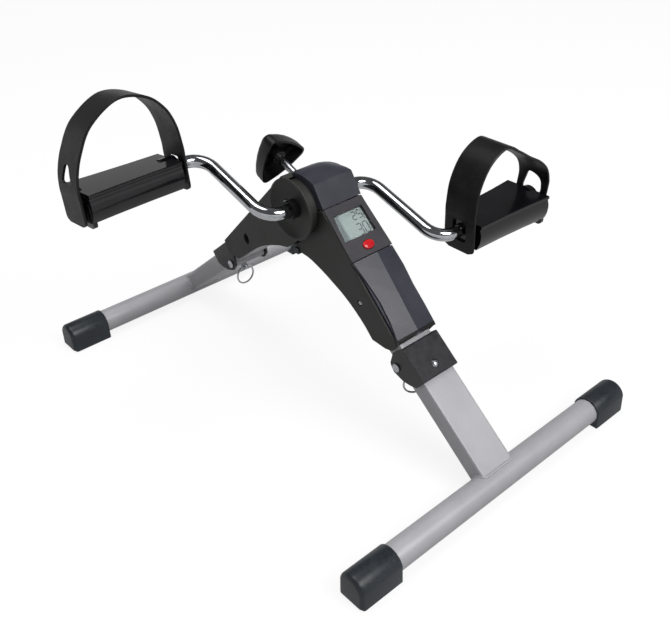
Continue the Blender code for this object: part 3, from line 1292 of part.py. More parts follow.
def build():
    main_frame()
    legs = {}
    for side, word, pin_turn in ((FRONT, "front", FRONT_PIN_TURN), (REAR, "rear", REAR_PIN_TURN)):
        leg = [bracket(side, word), leg_tube(side, word), crossbar(side, word), hinge_bolt(side, word)]
        leg += [end_cap(side, word, hand, hand_word) for hand,
                hand_word in ((LEFT, "left"), (RIGHT, "right"))]
        carry(carrier(word + "_leg_fold", hinge_point(side)), leg)
        pin = lock_pin(side, word, pin_turn)
        carry(carrier(word + "_pin_pull", eye_point(side)), [pin])
        ring = pull_ring(side, word, pin_turn)
        carry(carrier(word + "_ring_swing", eye_point(side)), [ring])
    for hand, word in ((LEFT, "left"), (RIGHT, "right")):
        rear_shell(hand, word)
        front_shell(hand, word)
        hub_bush(hand, word)
        for i, place in enumerate(hub_screw_places()):
            screw_solid(f"{word}_hub_screw_{i + 1}", place, hand, DISH_FLOOR[hand] + GAP,
                        BUSH_IN + 3 * SHELL_SCREW_R)
        screw_solid(word + "_front_screw", FRONT_SCREW, hand, front_screw_seat() + GAP,
                    TUBE_W / 2 - 2 * TUBE_WALL)
        screw_solid(word + "_rear_screw", BACK_SCREW, hand, back_screw_seat() + GAP,
                    TUBE_W / 2 - 2 * TUBE_WALL)
    top_cover()
    display_case()
    front_cover()
    housing_clip()
    speed_sensor()
    button = display_inside()
    carry(carrier("reset_button_press", button.matrix_world.translation.copy()), [button])
    turning = [crank(), brake_collar(), sensor_magnet(), hub_washer(LEFT, "left"), hub_washer(RIGHT, "right")]
    carry(carrier("crank_spin", HUB), turning)
    for hand, word, points, bulge, tilt in ((LEFT, "left", LEFT_STRAP, LEFT_BULGE, LEFT_PEDAL_TILT),
                                            (RIGHT, "right", RIGHT_STRAP, RIGHT_BULGE, 0.0)):
        pose = Matrix.Rotation(math.radians(-tilt), 4, "Y")
        carry_local(carrier(word + "_pedal_spin", pedal_axis(hand), pose),
                    pedal_pieces(hand, word, points, bulge))
    slide = carrier("tension_slide", HUB, BRAKE_AXIS.to_track_quat("Z", "Y").to_matrix().to_4x4())
    knob_turn = carrier("knob_turn", HUB, BRAKE_AXIS.to_track_quat("Z", "Y").to_matrix().to_4x4())
    shoe_pieces, turning_pieces = brake_pieces()
    carry_local(slide, shoe_pieces)
    carry_local(knob_turn, turning_pieces)
    bpy.context.view_layer.update()


build()
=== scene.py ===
# %% [markdown]
# A folding pedal exerciser, dressed for its portrait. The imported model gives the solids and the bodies
# that move; this lesson gives them their finishes, eases the edges that moulding and bending round off,
# and adds the small things a solid model leaves out, such as the numbers on the display.

import json
import math

import bmesh
import bpy
from mathutils import Matrix, Vector


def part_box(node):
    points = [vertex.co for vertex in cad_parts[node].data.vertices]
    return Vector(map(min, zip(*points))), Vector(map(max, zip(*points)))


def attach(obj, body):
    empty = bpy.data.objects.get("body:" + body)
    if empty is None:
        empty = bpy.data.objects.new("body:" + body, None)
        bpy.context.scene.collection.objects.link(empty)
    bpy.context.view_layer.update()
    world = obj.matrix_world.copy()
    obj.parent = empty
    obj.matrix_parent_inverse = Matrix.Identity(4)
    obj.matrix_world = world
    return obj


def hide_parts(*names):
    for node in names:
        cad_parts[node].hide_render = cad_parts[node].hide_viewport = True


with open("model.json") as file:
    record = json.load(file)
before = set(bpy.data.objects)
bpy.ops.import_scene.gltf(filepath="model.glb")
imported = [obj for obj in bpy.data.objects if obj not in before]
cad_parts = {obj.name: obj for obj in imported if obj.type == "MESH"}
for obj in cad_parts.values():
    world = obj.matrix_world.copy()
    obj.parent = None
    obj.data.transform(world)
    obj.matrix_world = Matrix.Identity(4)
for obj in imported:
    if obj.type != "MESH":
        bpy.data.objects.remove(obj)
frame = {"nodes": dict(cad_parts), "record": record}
NODES = frame["nodes"]
BODY_OF = {node: body for body, nodes in frame["record"]["behaviour"]["bodies"].items() for node in nodes}
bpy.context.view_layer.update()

# %% [markdown]
# The camera stands where the photograph was taken from: up, in front of the display and to the left.
# Its place and lens were fitted to edges of standard size. The shift keeps the picture's own framing.

# %% Camera
camera = bpy.data.objects.new("camera", bpy.data.cameras.new("camera"))
bpy.context.scene.collection.objects.link(camera)
RIGHT = Vector((0.6695, 0.7425, -0.0206)).normalized()
FORWARD = Vector((-0.6364, 0.5591, -0.5315)).normalized()
UP = RIGHT.cross(FORWARD).normalized()
turn = Matrix((RIGHT, UP, -FORWARD)).transposed().to_4x4()
camera.matrix_world = Matrix.Translation((0.5889, -0.4878, 0.5948)) @ turn
PICTURE_WIDE, PICTURE_HIGH = 670, 634
FOCAL_PX = 888.5
VIEW_CENTRE = (344.2, 282.9)
camera.data.sensor_width = 36.0
camera.data.lens = FOCAL_PX / PICTURE_WIDE * camera.data.sensor_width
camera.data.shift_x = -(VIEW_CENTRE[0] - PICTURE_WIDE / 2) / PICTURE_WIDE
camera.data.shift_y = -(PICTURE_HIGH / 2 - VIEW_CENTRE[1]) / PICTURE_WIDE
camera.data.clip_start = 0.01
bpy.context.scene.camera = camera
print("lens:", round(camera.data.lens, 1), "mm")

# %% [markdown]
# Two helpers carry every finish. Colours are written as the sRGB hex values a designer would note down,
# and one function turns them to the linear values a shader needs. The other adds a node with its
# settings and links in one line, so that a material reads from its first texture to its surface.

# %% Colour and node helpers
def srgb(code):
    """The linear colour of an sRGB hex value."""
    parts = [int(code[i:i + 2], 16) / 255 for i in (1, 3, 5)]
    return tuple(c / 12.92 if c <= 0.04045 else ((c + 0.055) / 1.055) ** 2.4 for c in parts) + (1.0,)


def add(tree, kind, values):
    """Adds a node. A key is an input's name or number, or a setting; a socket as its value is linked."""
    node = tree.nodes.new(kind)
    for key, value in values.items():
        if isinstance(key, str) and key not in node.inputs:
            setattr(node, key, value)
        elif isinstance(value, bpy.types.NodeSocket):
            tree.links.new(value, node.inputs[key])
        else:
            node.inputs[key].default_value = value
    return node


def start_material(name, **constants):
    """A material with its shader's constants set, and the position in metres that patterns use."""
    material = bpy.data.materials.new(name)
    material.use_nodes = True
    tree = material.node_tree
    shader = tree.nodes["Principled BSDF"]
    for key, value in constants.items():
        shader.inputs[key.replace("_", " ").title().replace("Ior", "IOR")].default_value = value
    place = add(tree, "ShaderNodeTexCoord", {}).outputs["Object"]
    return material, tree, shader, place


def per_mm(size_mm):
    """A noise scale that gives features of about this size in millimetres."""
    return 1000.0 / size_mm


print("mid grey #808080 is", round(srgb("#808080")[0], 3), "in linear light")

# %% [markdown]
# The tubes are mild steel under a silver-grey polyester powder coat. The powder is sprayed on dry and
# melts into a skin with a faint orange peel, so edges stay soft and the sheen is broad. Fine aluminium
# flake in it makes the grey shift slightly from place to place.

# %% Silver powder coat
PEEL_MM = 2.6
FLAKE_MM = 1.4


def silver_powder_coat():
    material, tree, shader, place = start_material("silver powder-coated steel", metallic=0.2)
    flake = add(tree, "ShaderNodeTexNoise", {"Vector": place, "Scale": per_mm(FLAKE_MM), "Detail": 3.0})
    drift = add(tree, "ShaderNodeTexNoise", {"Vector": place, "Scale": per_mm(45.0), "Detail": 2.0})
    cloud = add(tree, "ShaderNodeMapRange", {0: drift.outputs[0], 1: 0.35, 2: 0.65, 3: 0.0, 4: 1.0})
    base = add(tree, "ShaderNodeMix", {"data_type": "RGBA", 0: cloud.outputs[0],
                                       6: srgb("#9c9b9f"), 7: srgb("#a6a5a9")})
    spark = add(tree, "ShaderNodeMapRange", {0: flake.outputs[0], 1: 0.35, 2: 0.65, 3: 0.0, 4: 0.16})
    lit = add(tree, "ShaderNodeMix", {"data_type": "RGBA", 0: spark.outputs[0], 6: base.outputs[2],
                                      7: srgb("#bcbcc1")})
    tree.links.new(lit.outputs[2], shader.inputs["Base Color"])
    rough = add(tree, "ShaderNodeMapRange", {0: flake.outputs[0], 1: 0.35, 2: 0.65, 3: 0.40, 4: 0.50})
    tree.links.new(rough.outputs[0], shader.inputs["Roughness"])
    peel = add(tree, "ShaderNodeTexNoise", {"Vector": place, "Scale": per_mm(PEEL_MM), "Detail": 1.0})
    bump = add(tree, "ShaderNodeBump", {"Height": peel.outputs[0], "Strength": 0.12, "Distance": 0.0003})
    tree.links.new(bump.outputs[0], shader.inputs["Normal"])
    return material


POWDER_COAT = silver_powder_coat()
print("made:", POWDER_COAT.name, "- peel", PEEL_MM, "mm, flake", FLAKE_MM, "mm")

# %% [markdown]
# The brackets are bent plate in black enamel, dipped and baked. The enamel pools softly and levels
# out, which gives the eye a deeper gloss than powder has, with a thin hard shine over a dull black.

# %% Baked black enamel
ENAMEL_PEEL_MM = 3.5


def baked_black_enamel():
    material, tree, shader, place = start_material("baked black enamel", coat_weight=0.15,
                                                   coat_roughness=0.35, specular_ior_level=0.4)
    dust = add(tree, "ShaderNodeTexNoise", {"Vector": place, "Scale": per_mm(6.0), "Detail": 5.0})
    cloud = add(tree, "ShaderNodeMapRange", {0: dust.outputs[0], 1: 0.35, 2: 0.65, 3: 0.0, 4: 1.0})
    colour = add(tree, "ShaderNodeMix", {"data_type": "RGBA", 0: cloud.outputs[0],
                                         6: srgb("#17171a"), 7: srgb("#1f1f24")})
    tree.links.new(colour.outputs[2], shader.inputs["Base Color"])
    rough = add(tree, "ShaderNodeMapRange", {0: dust.outputs[0], 1: 0.35, 2: 0.65, 3: 0.34, 4: 0.46})
    tree.links.new(rough.outputs[0], shader.inputs["Roughness"])
    peel = add(tree, "ShaderNodeTexNoise", {"Vector": place, "Scale": per_mm(ENAMEL_PEEL_MM), "Detail": 1.0})
    bump = add(tree, "ShaderNodeBump", {"Height": peel.outputs[0], "Strength": 0.2, "Distance": 0.0003})
    tree.links.new(bump.outputs[0], shader.inputs["Normal"])
    return material


BLACK_ENAMEL = baked_black_enamel()
print("made:", BLACK_ENAMEL.name, "- peel", ENAMEL_PEEL_MM, "mm")

# %% [markdown]
# The housing, covers, caps, pedals, straps and knob are moulded plastic. They differ in colour, gloss and
# in the grain of their moulds: spark-eroded on the housing, finer on the covers, polished on the pedals.
# A real grain is about 0.3 mm, too fine to show in this picture, so it is drawn at 0.9 mm and more. Black
# plastic on a white sweep shows a veil of reflected white, so the colours are noted darker than they look.

# %% Moulded plastics
def moulded(name, dark, light, rough_low, rough_high, grain_mm, grain_depth, flow_mm=30.0, **constants):
    """A moulded plastic: the mould's grain, and the slow drift that the melt's flow leaves."""
    material, tree, shader, place = start_material(name, **constants)
    flow = add(tree, "ShaderNodeTexNoise", {"Vector": place, "Scale": per_mm(flow_mm), "Detail": 3.0})
    grain = add(tree, "ShaderNodeTexNoise", {"Vector": place, "Scale": per_mm(grain_mm), "Detail": 2.0})
    both = add(tree, "ShaderNodeMath", {"operation": "ADD", 0: flow.outputs[0], 1: grain.outputs[0]})
    share = add(tree, "ShaderNodeMapRange", {0: both.outputs[0], 1: 0.75, 2: 1.25, 3: 0.0, 4: 1.0})
    colour = add(tree, "ShaderNodeMix", {"data_type": "RGBA", 0: share.outputs[0],
                                         6: srgb(dark), 7: srgb(light)})
    tree.links.new(colour.outputs[2], shader.inputs["Base Color"])
    rough = add(tree, "ShaderNodeMapRange", {0: both.outputs[0], 1: 0.75, 2: 1.25,
                                             3: rough_low, 4: rough_high})
    tree.links.new(rough.outputs[0], shader.inputs["Roughness"])
    bump = add(tree, "ShaderNodeBump", {"Height": grain.outputs[0], "Strength": 0.5, "Distance": grain_depth})
    tree.links.new(bump.outputs[0], shader.inputs["Normal"])
    print("made:", name, "- grain", grain_mm, "mm, roughness", rough_low, "to", rough_high)
    return material


# The housing is ABS from a spark-eroded mould: an even, matt charcoal that hides fingerprints.
HOUSING_ABS = moulded("spark-grained charcoal ABS", "#1c1d1b", "#252623", 0.52, 0.64, 1.1, 0.00012)
# The covers are the same plastic, slate blue, from a finer mould, so that their facets catch a sheen.
COVER_ABS = moulded("satin slate ABS", "#2b2b35", "#35353f", 0.32, 0.42, 0.9, 0.00004)
BEZEL_ABS = moulded("satin graphite ABS", "#2b292e", "#353237", 0.38, 0.48, 0.9, 0.00005)
# The caps are dipped vinyl, a little rubbery, with a soft roll of light along them.
CAP_VINYL = moulded("dipped black vinyl", "#1b2025", "#262c32", 0.34, 0.46, 2.4, 0.00012, 18.0,
                   specular_ior_level=0.4)
# The pedals are polypropylene from a polished mould, with the sharpest highlights of the black plastics.
PEDAL_PP = moulded("glossy black polypropylene", "#0b0a0d", "#131116", 0.12, 0.20, 1.6, 0.00002, 22.0)
# Knob and straps are softer and duller.
KNOB_ABS = moulded("satin black ABS", "#0f0f10", "#151516", 0.36, 0.46, 1.2, 0.00006, specular_ior_level=0.3)
STRAP_PVC = moulded("soft black PVC", "#0e0e10", "#161618", 0.38, 0.50, 1.8, 0.00010, 14.0,
                   specular_ior_level=0.28)
# Bushes and the sensor are nylon, and the button is the only bright colour.
BUSH_NYLON = moulded("black nylon", "#141516", "#1c1d1e", 0.45, 0.55, 1.0, 0.00005)
RED_ABS = moulded("glossy red ABS", "#a81219", "#c01e24", 0.08, 0.16, 1.5, 0.00002)

# %% [markdown]
# The crank is bright chrome over nickel: a mirror, softened by faint waves of the polishing wheel. The
# small screws and pins are zinc with a clear passivate, which is greyer and less sharp, the hub washers
# are blackened steel, and the parts of the brake are turned steel with a trace of oil. Metals keep the
# default IOR.

# %% Plated and turned metals
def plated(name, dark, light, rough_low, rough_high, wave_mm, wave_depth):
    """A plated metal with a faint unevenness in its polish."""
    material, tree, shader, place = start_material(name, metallic=1.0)
    polish = add(tree, "ShaderNodeTexNoise", {"Vector": place, "Scale": per_mm(wave_mm), "Detail": 4.0})
    share = add(tree, "ShaderNodeMapRange", {0: polish.outputs[0], 1: 0.35, 2: 0.65, 3: 0.0, 4: 1.0})
    colour = add(tree, "ShaderNodeMix", {"data_type": "RGBA", 0: share.outputs[0],
                                         6: srgb(dark), 7: srgb(light)})
    tree.links.new(colour.outputs[2], shader.inputs["Base Color"])
    rough = add(tree, "ShaderNodeMapRange", {0: polish.outputs[0], 1: 0.35, 2: 0.65,
                                             3: rough_low, 4: rough_high})
    tree.links.new(rough.outputs[0], shader.inputs["Roughness"])
    bump = add(tree, "ShaderNodeBump", {"Height": polish.outputs[0], "Strength": 0.3, "Distance": wave_depth})
    tree.links.new(bump.outputs[0], shader.inputs["Normal"])
    print("made:", name, "- waves", wave_mm, "mm")
    return material


CHROME = plated("bright chrome plate", "#aeb0b4", "#c9cbcf", 0.06, 0.14, 14.0, 0.0002)
ZINC = plated("clear zinc plate", "#a2a4a8", "#bfc1c5", 0.22, 0.34, 1.2, 0.00005)
BLACK_OXIDE = plated("blackened steel", "#1b1b1d", "#29292c", 0.22, 0.34, 3.0, 0.00008)
MACHINED = plated("turned steel", "#8c8e92", "#a5a7ab", 0.28, 0.40, 1.0, 0.00005)

# %% [markdown]
# Behind its clear acrylic window the display is a reflective LCD: a pale polariser over a mirror film. It
# is a flat grey with a little green, darkened along its left side by painted shade for the shadow of the
# case's wall. The segments are dark liquid crystal, the board behind is under green solder mask, and the
# brake pad is pressed felt.

# %% Display and small parts
# The painted shade of the case's wall starts and ends at these places across the object, in metres.
PAINTED_SHADE_START, PAINTED_SHADE_END = -0.0095, -0.0125


def polariser_film():
    material, tree, shader, place = start_material("LCD polariser film", coat_weight=0.3, coat_roughness=0.1)
    cells = add(tree, "ShaderNodeTexNoise", {"Vector": place, "Scale": per_mm(1.0), "Detail": 1.0})
    share = add(tree, "ShaderNodeMapRange", {0: cells.outputs[0], 1: 0.35, 2: 0.65, 3: 0.0, 4: 1.0})
    pale = add(tree, "ShaderNodeMix", {"data_type": "RGBA", 0: share.outputs[0],
                                       6: srgb("#a3afac"), 7: srgb("#adb8b5")})
    # Painted shade: towards the left side the film's colour is mixed into a darker grey-green, standing for
    # the shadow of the case's wall.
    axes = add(tree, "ShaderNodeSeparateXYZ", {0: place})
    side = add(tree, "ShaderNodeMapRange", {0: axes.outputs[1], 1: PAINTED_SHADE_START, 2: PAINTED_SHADE_END, 3: 0.0, 4: 1.0})
    shaded = add(tree, "ShaderNodeMix", {"data_type": "RGBA", 0: side.outputs[0], 6: pale.outputs[2],
                                         7: srgb("#747f7f")})
    tree.links.new(shaded.outputs[2], shader.inputs["Base Color"])
    rough = add(tree, "ShaderNodeMapRange", {0: cells.outputs[0], 1: 0.35, 2: 0.65, 3: 0.32, 4: 0.42})
    tree.links.new(rough.outputs[0], shader.inputs["Roughness"])
    return material


def clear_acrylic():
    material, tree, shader, place = start_material("clear acrylic", IOR=1.49, transmission_weight=1.0)
    haze = add(tree, "ShaderNodeTexNoise", {"Vector": place, "Scale": per_mm(9.0), "Detail": 2.0})
    rough = add(tree, "ShaderNodeMapRange", {0: haze.outputs[0], 1: 0.35, 2: 0.65, 3: 0.01, 4: 0.04})
    tree.links.new(rough.outputs[0], shader.inputs["Roughness"])
    tint = add(tree, "ShaderNodeMix", {"data_type": "RGBA", 0: haze.outputs[0],
                                       6: srgb("#f2f6f6"), 7: srgb("#fafcfc")})
    tree.links.new(tint.outputs[2], shader.inputs["Base Color"])
    return material


POLARISER = polariser_film()
ACRYLIC = clear_acrylic()
SEGMENT_INK = moulded("dark LCD segments", "#3f4a49", "#4a5554", 0.40, 0.50, 1.0, 0.00001)
SOLDER_MASK = moulded("green solder mask", "#1a4f31", "#226040", 0.30, 0.45, 2.0, 0.00005)
FELT = moulded("pressed wool felt", "#5c5246", "#756858", 0.85, 0.95, 0.8, 0.0003)

# %% [markdown]
# Solids from the frame have sharp edges and flat facets. Moulding, bending and deburring round every real
# edge, and a round edge is what catches the light. So each visible solid gets an eased copy: its facets
# are welded, its flat faces merged, its edges bevelled by a small radius, and its curves shaded smooth.
# Weighted normals then keep each flat face evenly lit up to its rounded edges.

# %% Eased copies
# Angles in degrees: edges up to CURVE_TO are shaded as one curve. The bevel starts BEVEL_MARGIN below it,
# but never under BEVEL_FROM. The pedals' ribs and the front cover's ridge have lower limits of their own.
CURVE_TO = 38.0
RIB_TO = 27.0
RIDGE_TO = 6.0
BEVEL_FROM = 24.0
BEVEL_MARGIN = 6.0
WELD_WITHIN = 0.000002
FLAT_WITHIN = 0.6


def linked(name, mesh, material, body):
    """A new piece of the object, in its finish, riding on a body."""
    piece = bpy.data.objects.new(name, mesh)
    bpy.context.scene.collection.objects.link(piece)
    mesh.materials.append(material)
    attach(piece, body)
    return piece


def eased(node, material, radius, smooth_to=CURVE_TO, merge=True):
    """A copy of a solid with rounded edges, which stands for it. merge joins its flat triangles."""
    work = bmesh.new()
    work.from_mesh(NODES[node].data)
    bmesh.ops.remove_doubles(work, verts=work.verts, dist=WELD_WITHIN)
    if merge:
        flat = math.radians(FLAT_WITHIN)
        bmesh.ops.dissolve_limit(work, angle_limit=flat, verts=work.verts, edges=work.edges)
    bmesh.ops.recalc_face_normals(work, faces=work.faces)
    mesh = bpy.data.meshes.new(node + "_eased")
    work.to_mesh(mesh)
    work.free()
    mesh.shade_smooth()
    mesh.set_sharp_from_angle(angle=math.radians(smooth_to))
    piece = linked(node + "_skin", mesh, material, BODY_OF[node])
    if radius:
        bevel = piece.modifiers.new("eased edges", "BEVEL")
        bevel.width = radius
        bevel.segments = 2
        bevel.limit_method = "ANGLE"
        bevel.angle_limit = math.radians(max(smooth_to - BEVEL_MARGIN, BEVEL_FROM))
        bevel.use_clamp_overlap = True
        bevel.harden_normals = True
        flats = piece.modifiers.new("level flats", "WEIGHTED_NORMAL")
        flats.keep_sharp = True
    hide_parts(node)
    return piece


print("most edges are rounded from", CURVE_TO - BEVEL_MARGIN, "degrees up")

# %% [markdown]
# A list gives nearly every solid its finish and the radius of its edges in metres: large on the mouldings,
# small on turned and cut metal, none on the window and the drawn wire of the rings. The display's case keeps
# its flat triangles, because a single face round the window's hole shades badly.

# %% Dress every solid
ENDS = ("front", "rear")
SIDES = {"left": -1, "right": 1}
SCREWS = ("hub_screw_1", "hub_screw_2", "front_screw", "rear_screw")
FINISHES = {
    "main_frame": (POWDER_COAT, 0.0005), "crank": (CHROME, 0.0004), "top_cover": (COVER_ABS, 0.0008),
    "display_case": (BEZEL_ABS, 0.0004, CURVE_TO, False), "front_cover": (COVER_ABS, 0.0005, RIDGE_TO),
    "housing_clip": (CAP_VINYL, 0.0003), "lcd_panel": (POLARISER, 0.0002), "display_lens": (ACRYLIC, 0.0),
    "circuit_board": (SOLDER_MASK, 0.0002), "battery": (MACHINED, 0.0004),
    "speed_sensor": (BUSH_NYLON, 0.0003), "brake_collar": (MACHINED, 0.0003),
    "sensor_magnet": (MACHINED, 0.0001), "brake_shoe": (MACHINED, 0.0003), "brake_pad": (FELT, 0.0002),
    "tension_screw": (ZINC, 0.0003), "tension_knob": (KNOB_ABS, 0.0006),
}
for end in ENDS:
    FINISHES[end + "_bracket"] = (BLACK_ENAMEL, 0.0004)
    FINISHES[end + "_leg_tube"] = (POWDER_COAT, 0.0003)
    FINISHES[end + "_crossbar"] = (POWDER_COAT, 0.0003)
    FINISHES[end + "_hinge_bolt"] = (ZINC, 0.0002)
    FINISHES[end + "_lock_pin"] = (ZINC, 0.0002)
    FINISHES[end + "_pull_ring"] = (ZINC, 0.0)
for hand in SIDES:
    FINISHES[hand + "_rear_shell"] = (HOUSING_ABS, 0.0006)
    FINISHES[hand + "_front_shell"] = (HOUSING_ABS, 0.0006)
    FINISHES[hand + "_hub_bush"] = (BUSH_NYLON, 0.0003)
    FINISHES[hand + "_hub_washer"] = (BLACK_OXIDE, 0.0002)
    FINISHES[hand + "_pedal"] = (PEDAL_PP, 0.0005, RIB_TO)
    FINISHES[hand + "_axle_nut"] = (ZINC, 0.0003)
    for screw in SCREWS:
        FINISHES[f"{hand}_{screw}"] = (ZINC, 0.0002)

SKINS = {node: eased(node, *finish) for node, finish in FINISHES.items()}
print("dressed:", len(SKINS), "of", len(NODES), "- button, caps and straps follow")

# %% [markdown]
# A small helper measures a solid along any direction, so that added details take their places from the
# frame. The display's own axes come from the button, which is pressed straight into its face.

# %% Measures along a direction
def reach(node, direction):
    """The lowest and highest value of a solid along a direction, in metres."""
    values = [vertex.co.dot(direction) for vertex in NODES[node].data.vertices]
    return min(values), max(values)


JOINTS = {joint["name"]: joint for joint in frame["record"]["behaviour"]["joints"]}
HUB = Vector(JOINTS["crank_spin"]["pos_m"])
FACE_OUT = -Vector(JOINTS["reset_button_press"]["axis"]).normalized()
ACROSS = Vector((0.0, 1.0, 0.0))
DOWN_FACE = ACROSS.cross(FACE_OUT).normalized()
print("display faces", [round(c, 2) for c in FACE_OUT], "and runs down", [round(c, 2) for c in DOWN_FACE])

# %% [markdown]
# Two more helpers make the added shapes. One draws a skin over a row of sections, as a loft does, which
# suits all that is dipped, welded or bent. The other takes a punch's shape out of a piece, as a tool does.

# %% Skins and punches
CUT_SHARP = 44.0


def skinned(name, rings, loop=False, smooth_to=40.0):
    """A mesh over rings of points, closed at both ends or joined end to end."""
    work = bmesh.new()
    rows = [[work.verts.new(point) for point in ring] for ring in rings]
    pairs = list(zip(rows, rows[1:])) + ([(rows[-1], rows[0])] if loop else [])
    for low, high in pairs:
        for k in range(len(low)):
            j = (k + 1) % len(low)
            work.faces.new((low[k], low[j], high[j], high[k]))
    if not loop:
        work.faces.new(list(reversed(rows[0])))
        work.faces.new(rows[-1])
    bmesh.ops.recalc_face_normals(work, faces=work.faces)
    mesh = bpy.data.meshes.new(name)
    work.to_mesh(mesh)
    work.free()
    mesh.shade_smooth()
    mesh.set_sharp_from_angle(angle=math.radians(smooth_to))
    return mesh


def cut_away(piece, punch_mesh):
    """Takes a punch's shape out of a piece, and leaves a plain mesh."""
    punch = bpy.data.objects.new("punch", punch_mesh)
    bpy.context.scene.collection.objects.link(punch)
    cut = piece.modifiers.new("cut", "BOOLEAN")
    cut.object = punch
    cut.operation = "DIFFERENCE"
    cut.solver = "EXACT"
    cut.use_self = True
    bpy.context.view_layer.update()
    seen = piece.evaluated_get(bpy.context.evaluated_depsgraph_get())
    piece.data = bpy.data.meshes.new_from_object(seen)
    piece.modifiers.clear()
    piece.data.set_sharp_from_angle(angle=math.radians(CUT_SHARP))
    bpy.data.objects.remove(punch)


print("a punched edge stays sharp from", CUT_SHARP, "degrees up")

# %% [markdown]
# The display shows a few plain numbers. A segment of an LCD digit is a slim hexagon of dark crystal, and
# seven of them make any number. They lie on the panel, a hair under the window, so that they sharpen or
# fade with the light on the panel as real segments do.

# %% Numbers on the display
SEGMENT_T = 0.00006
STROKE = 0.0011
SEGMENT_GAP = 0.15
DIGIT_PITCH = 1.5
DIGITS_RIGHT = 0.0128
LIT = {"0": "abcdef", "2": "abged", "3": "abgcd", "5": "afgcd"}
# Each row has its number, its middle's distance from the panel's top, and a digit's width and height.
DISPLAY_ROWS = [("25", 0.0080, 0.0044, 0.0078), ("30", 0.0220, 0.0050, 0.0110)]


def segment_ends(width, height):
    """Each segment's two ends, from the digit's middle: across, and down its face."""
    x, y = width / 2, height / 2
    return {"a": ((-x, -y), (x, -y)), "b": ((x, -y), (x, 0)), "c": ((x, 0), (x, y)), "d": ((-x, y), (x, y)),
            "e": ((-x, 0), (-x, y)), "f": ((-x, -y), (-x, 0)), "g": ((-x, 0), (x, 0))}


def lcd_number(work, text, middle, width, height):
    """Adds a row of digits to a mesh, with the last digit at the display's right."""
    top = reach("lcd_panel", FACE_OUT)[1]
    start = reach("lcd_panel", DOWN_FACE)[0]
    for i, sign in enumerate(reversed(text)):
        for letter in LIT[sign]:
            a, b = (Vector(end) for end in segment_ends(width, height)[letter])
            along = (b - a).normalized()
            side = Vector((-along.y, along.x)) * STROKE / 2
            a, b = a + along * STROKE * SEGMENT_GAP, b - along * STROKE * SEGMENT_GAP
            tip = along * STROKE / 2
            corners = [a, a + tip + side, b - tip + side, b, b - tip - side, a + tip - side]
            rings = []
            for level in (0.0, SEGMENT_T):
                ring = []
                for c in corners:
                    y = c.x + DIGITS_RIGHT - i * DIGIT_PITCH * width
                    u = c.y + start + middle
                    ring.append(work.verts.new(ACROSS * y + DOWN_FACE * u + FACE_OUT * (top + level)))
                rings.append(ring)
            work.faces.new(rings[1])
            work.faces.new(list(reversed(rings[0])))
            for k in range(6):
                work.faces.new((rings[0][k], rings[0][(k + 1) % 6], rings[1][(k + 1) % 6], rings[1][k]))


numbers = bmesh.new()
for row in DISPLAY_ROWS:
    lcd_number(numbers, *row)
bmesh.ops.recalc_face_normals(numbers, faces=numbers.faces)
number_mesh = bpy.data.meshes.new("display_numbers")
numbers.to_mesh(number_mesh)
numbers.free()
linked("display_numbers", number_mesh, SEGMENT_INK, "frame")
print("display numbers:", len(number_mesh.polygons), "faces")

# %% [markdown]
# The reset button is a small domed oval. A dome is drawn as rings of one ellipse that shrink while they
# rise, which keeps its highlight round and smooth.

# %% Domed button
DOME_RISE = 0.0007
DOME_SHOULDER = 0.0006
DOME_FULLNESS = 0.7
DOME_RINGS = 7
ELLIPSE_STEPS = 48


def domed_button():
    low, high = reach("reset_button", FACE_OUT)
    u0, u1 = reach("reset_button", DOWN_FACE)
    y0, y1 = reach("reset_button", ACROSS)
    shoulder = high - DOME_SHOULDER
    levels = [(low, 1.0), (shoulder, 1.0)]
    for k in range(1, DOME_RINGS):
        angle = math.radians(90.0) * k / DOME_RINGS
        rise = (high + DOME_RISE - shoulder) * math.sin(angle)
        levels.append((shoulder + rise, math.cos(angle) ** DOME_FULLNESS))
    rings = []
    for height, share in levels:
        ring = []
        for k in range(ELLIPSE_STEPS):
            angle = math.radians(360.0) * k / ELLIPSE_STEPS
            u = (u0 + u1) / 2 + (u1 - u0) / 2 * share * math.cos(angle)
            y = (y0 + y1) / 2 + (y1 - y0) / 2 * share * math.sin(angle)
            ring.append(DOWN_FACE * u + ACROSS * y + FACE_OUT * height)
        rings.append(ring)
    mesh = skinned("button_dome", rings, smooth_to=50.0)
    piece = linked("reset_button_dome", mesh, RED_ABS, BODY_OF["reset_button"])
    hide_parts("reset_button")


domed_button()
for way, word in ((DOWN_FACE, "down"), (ACROSS, "across")):
    low, high = reach("reset_button", way)
    print("button:", round(1000 * (high - low), 1), "mm", word)

# %% [markdown]
# Each leg is welded to its floor bar. A weld bead is a row of frozen ripples, laid where the square tube
# meets the round one. Its path is found by walking round the tube and dropping each point onto the bar.

# %% Weld beads
BEAD_R = 0.0013
BEAD_PITCH = 0.0021
BEAD_RIPPLE = 0.16
BEAD_SIDES = 8
TUBE_CORNER = 0.003
CORNER_STEPS = 6
WALK_STEP = 0.0006


def tube_walk(half_wide, half_high):
    """Points round a rectangle with rounded corners, and the way out of it at each."""
    wide, high = half_wide - TUBE_CORNER, half_high - TUBE_CORNER
    turns = []
    for y, v, start in ((wide, high, 0.0), (-wide, high, 90.0), (-wide, -high, 180.0), (wide, -high, 270.0)):
        for k in range(CORNER_STEPS + 1):
            angle = math.radians(start + 90.0 * k / CORNER_STEPS)
            out = Vector((math.cos(angle), math.sin(angle)))
            turns.append((Vector((y, v)) + out * TUBE_CORNER, out))
    walk = []
    for (a, out_a), (b, out_b) in zip(turns, turns[1:] + turns[:1]):
        count = max(1, round((b - a).length / WALK_STEP))
        walk += [(a.lerp(b, k / count), out_a.lerp(out_b, k / count).normalized()) for k in range(count)]
    return walk


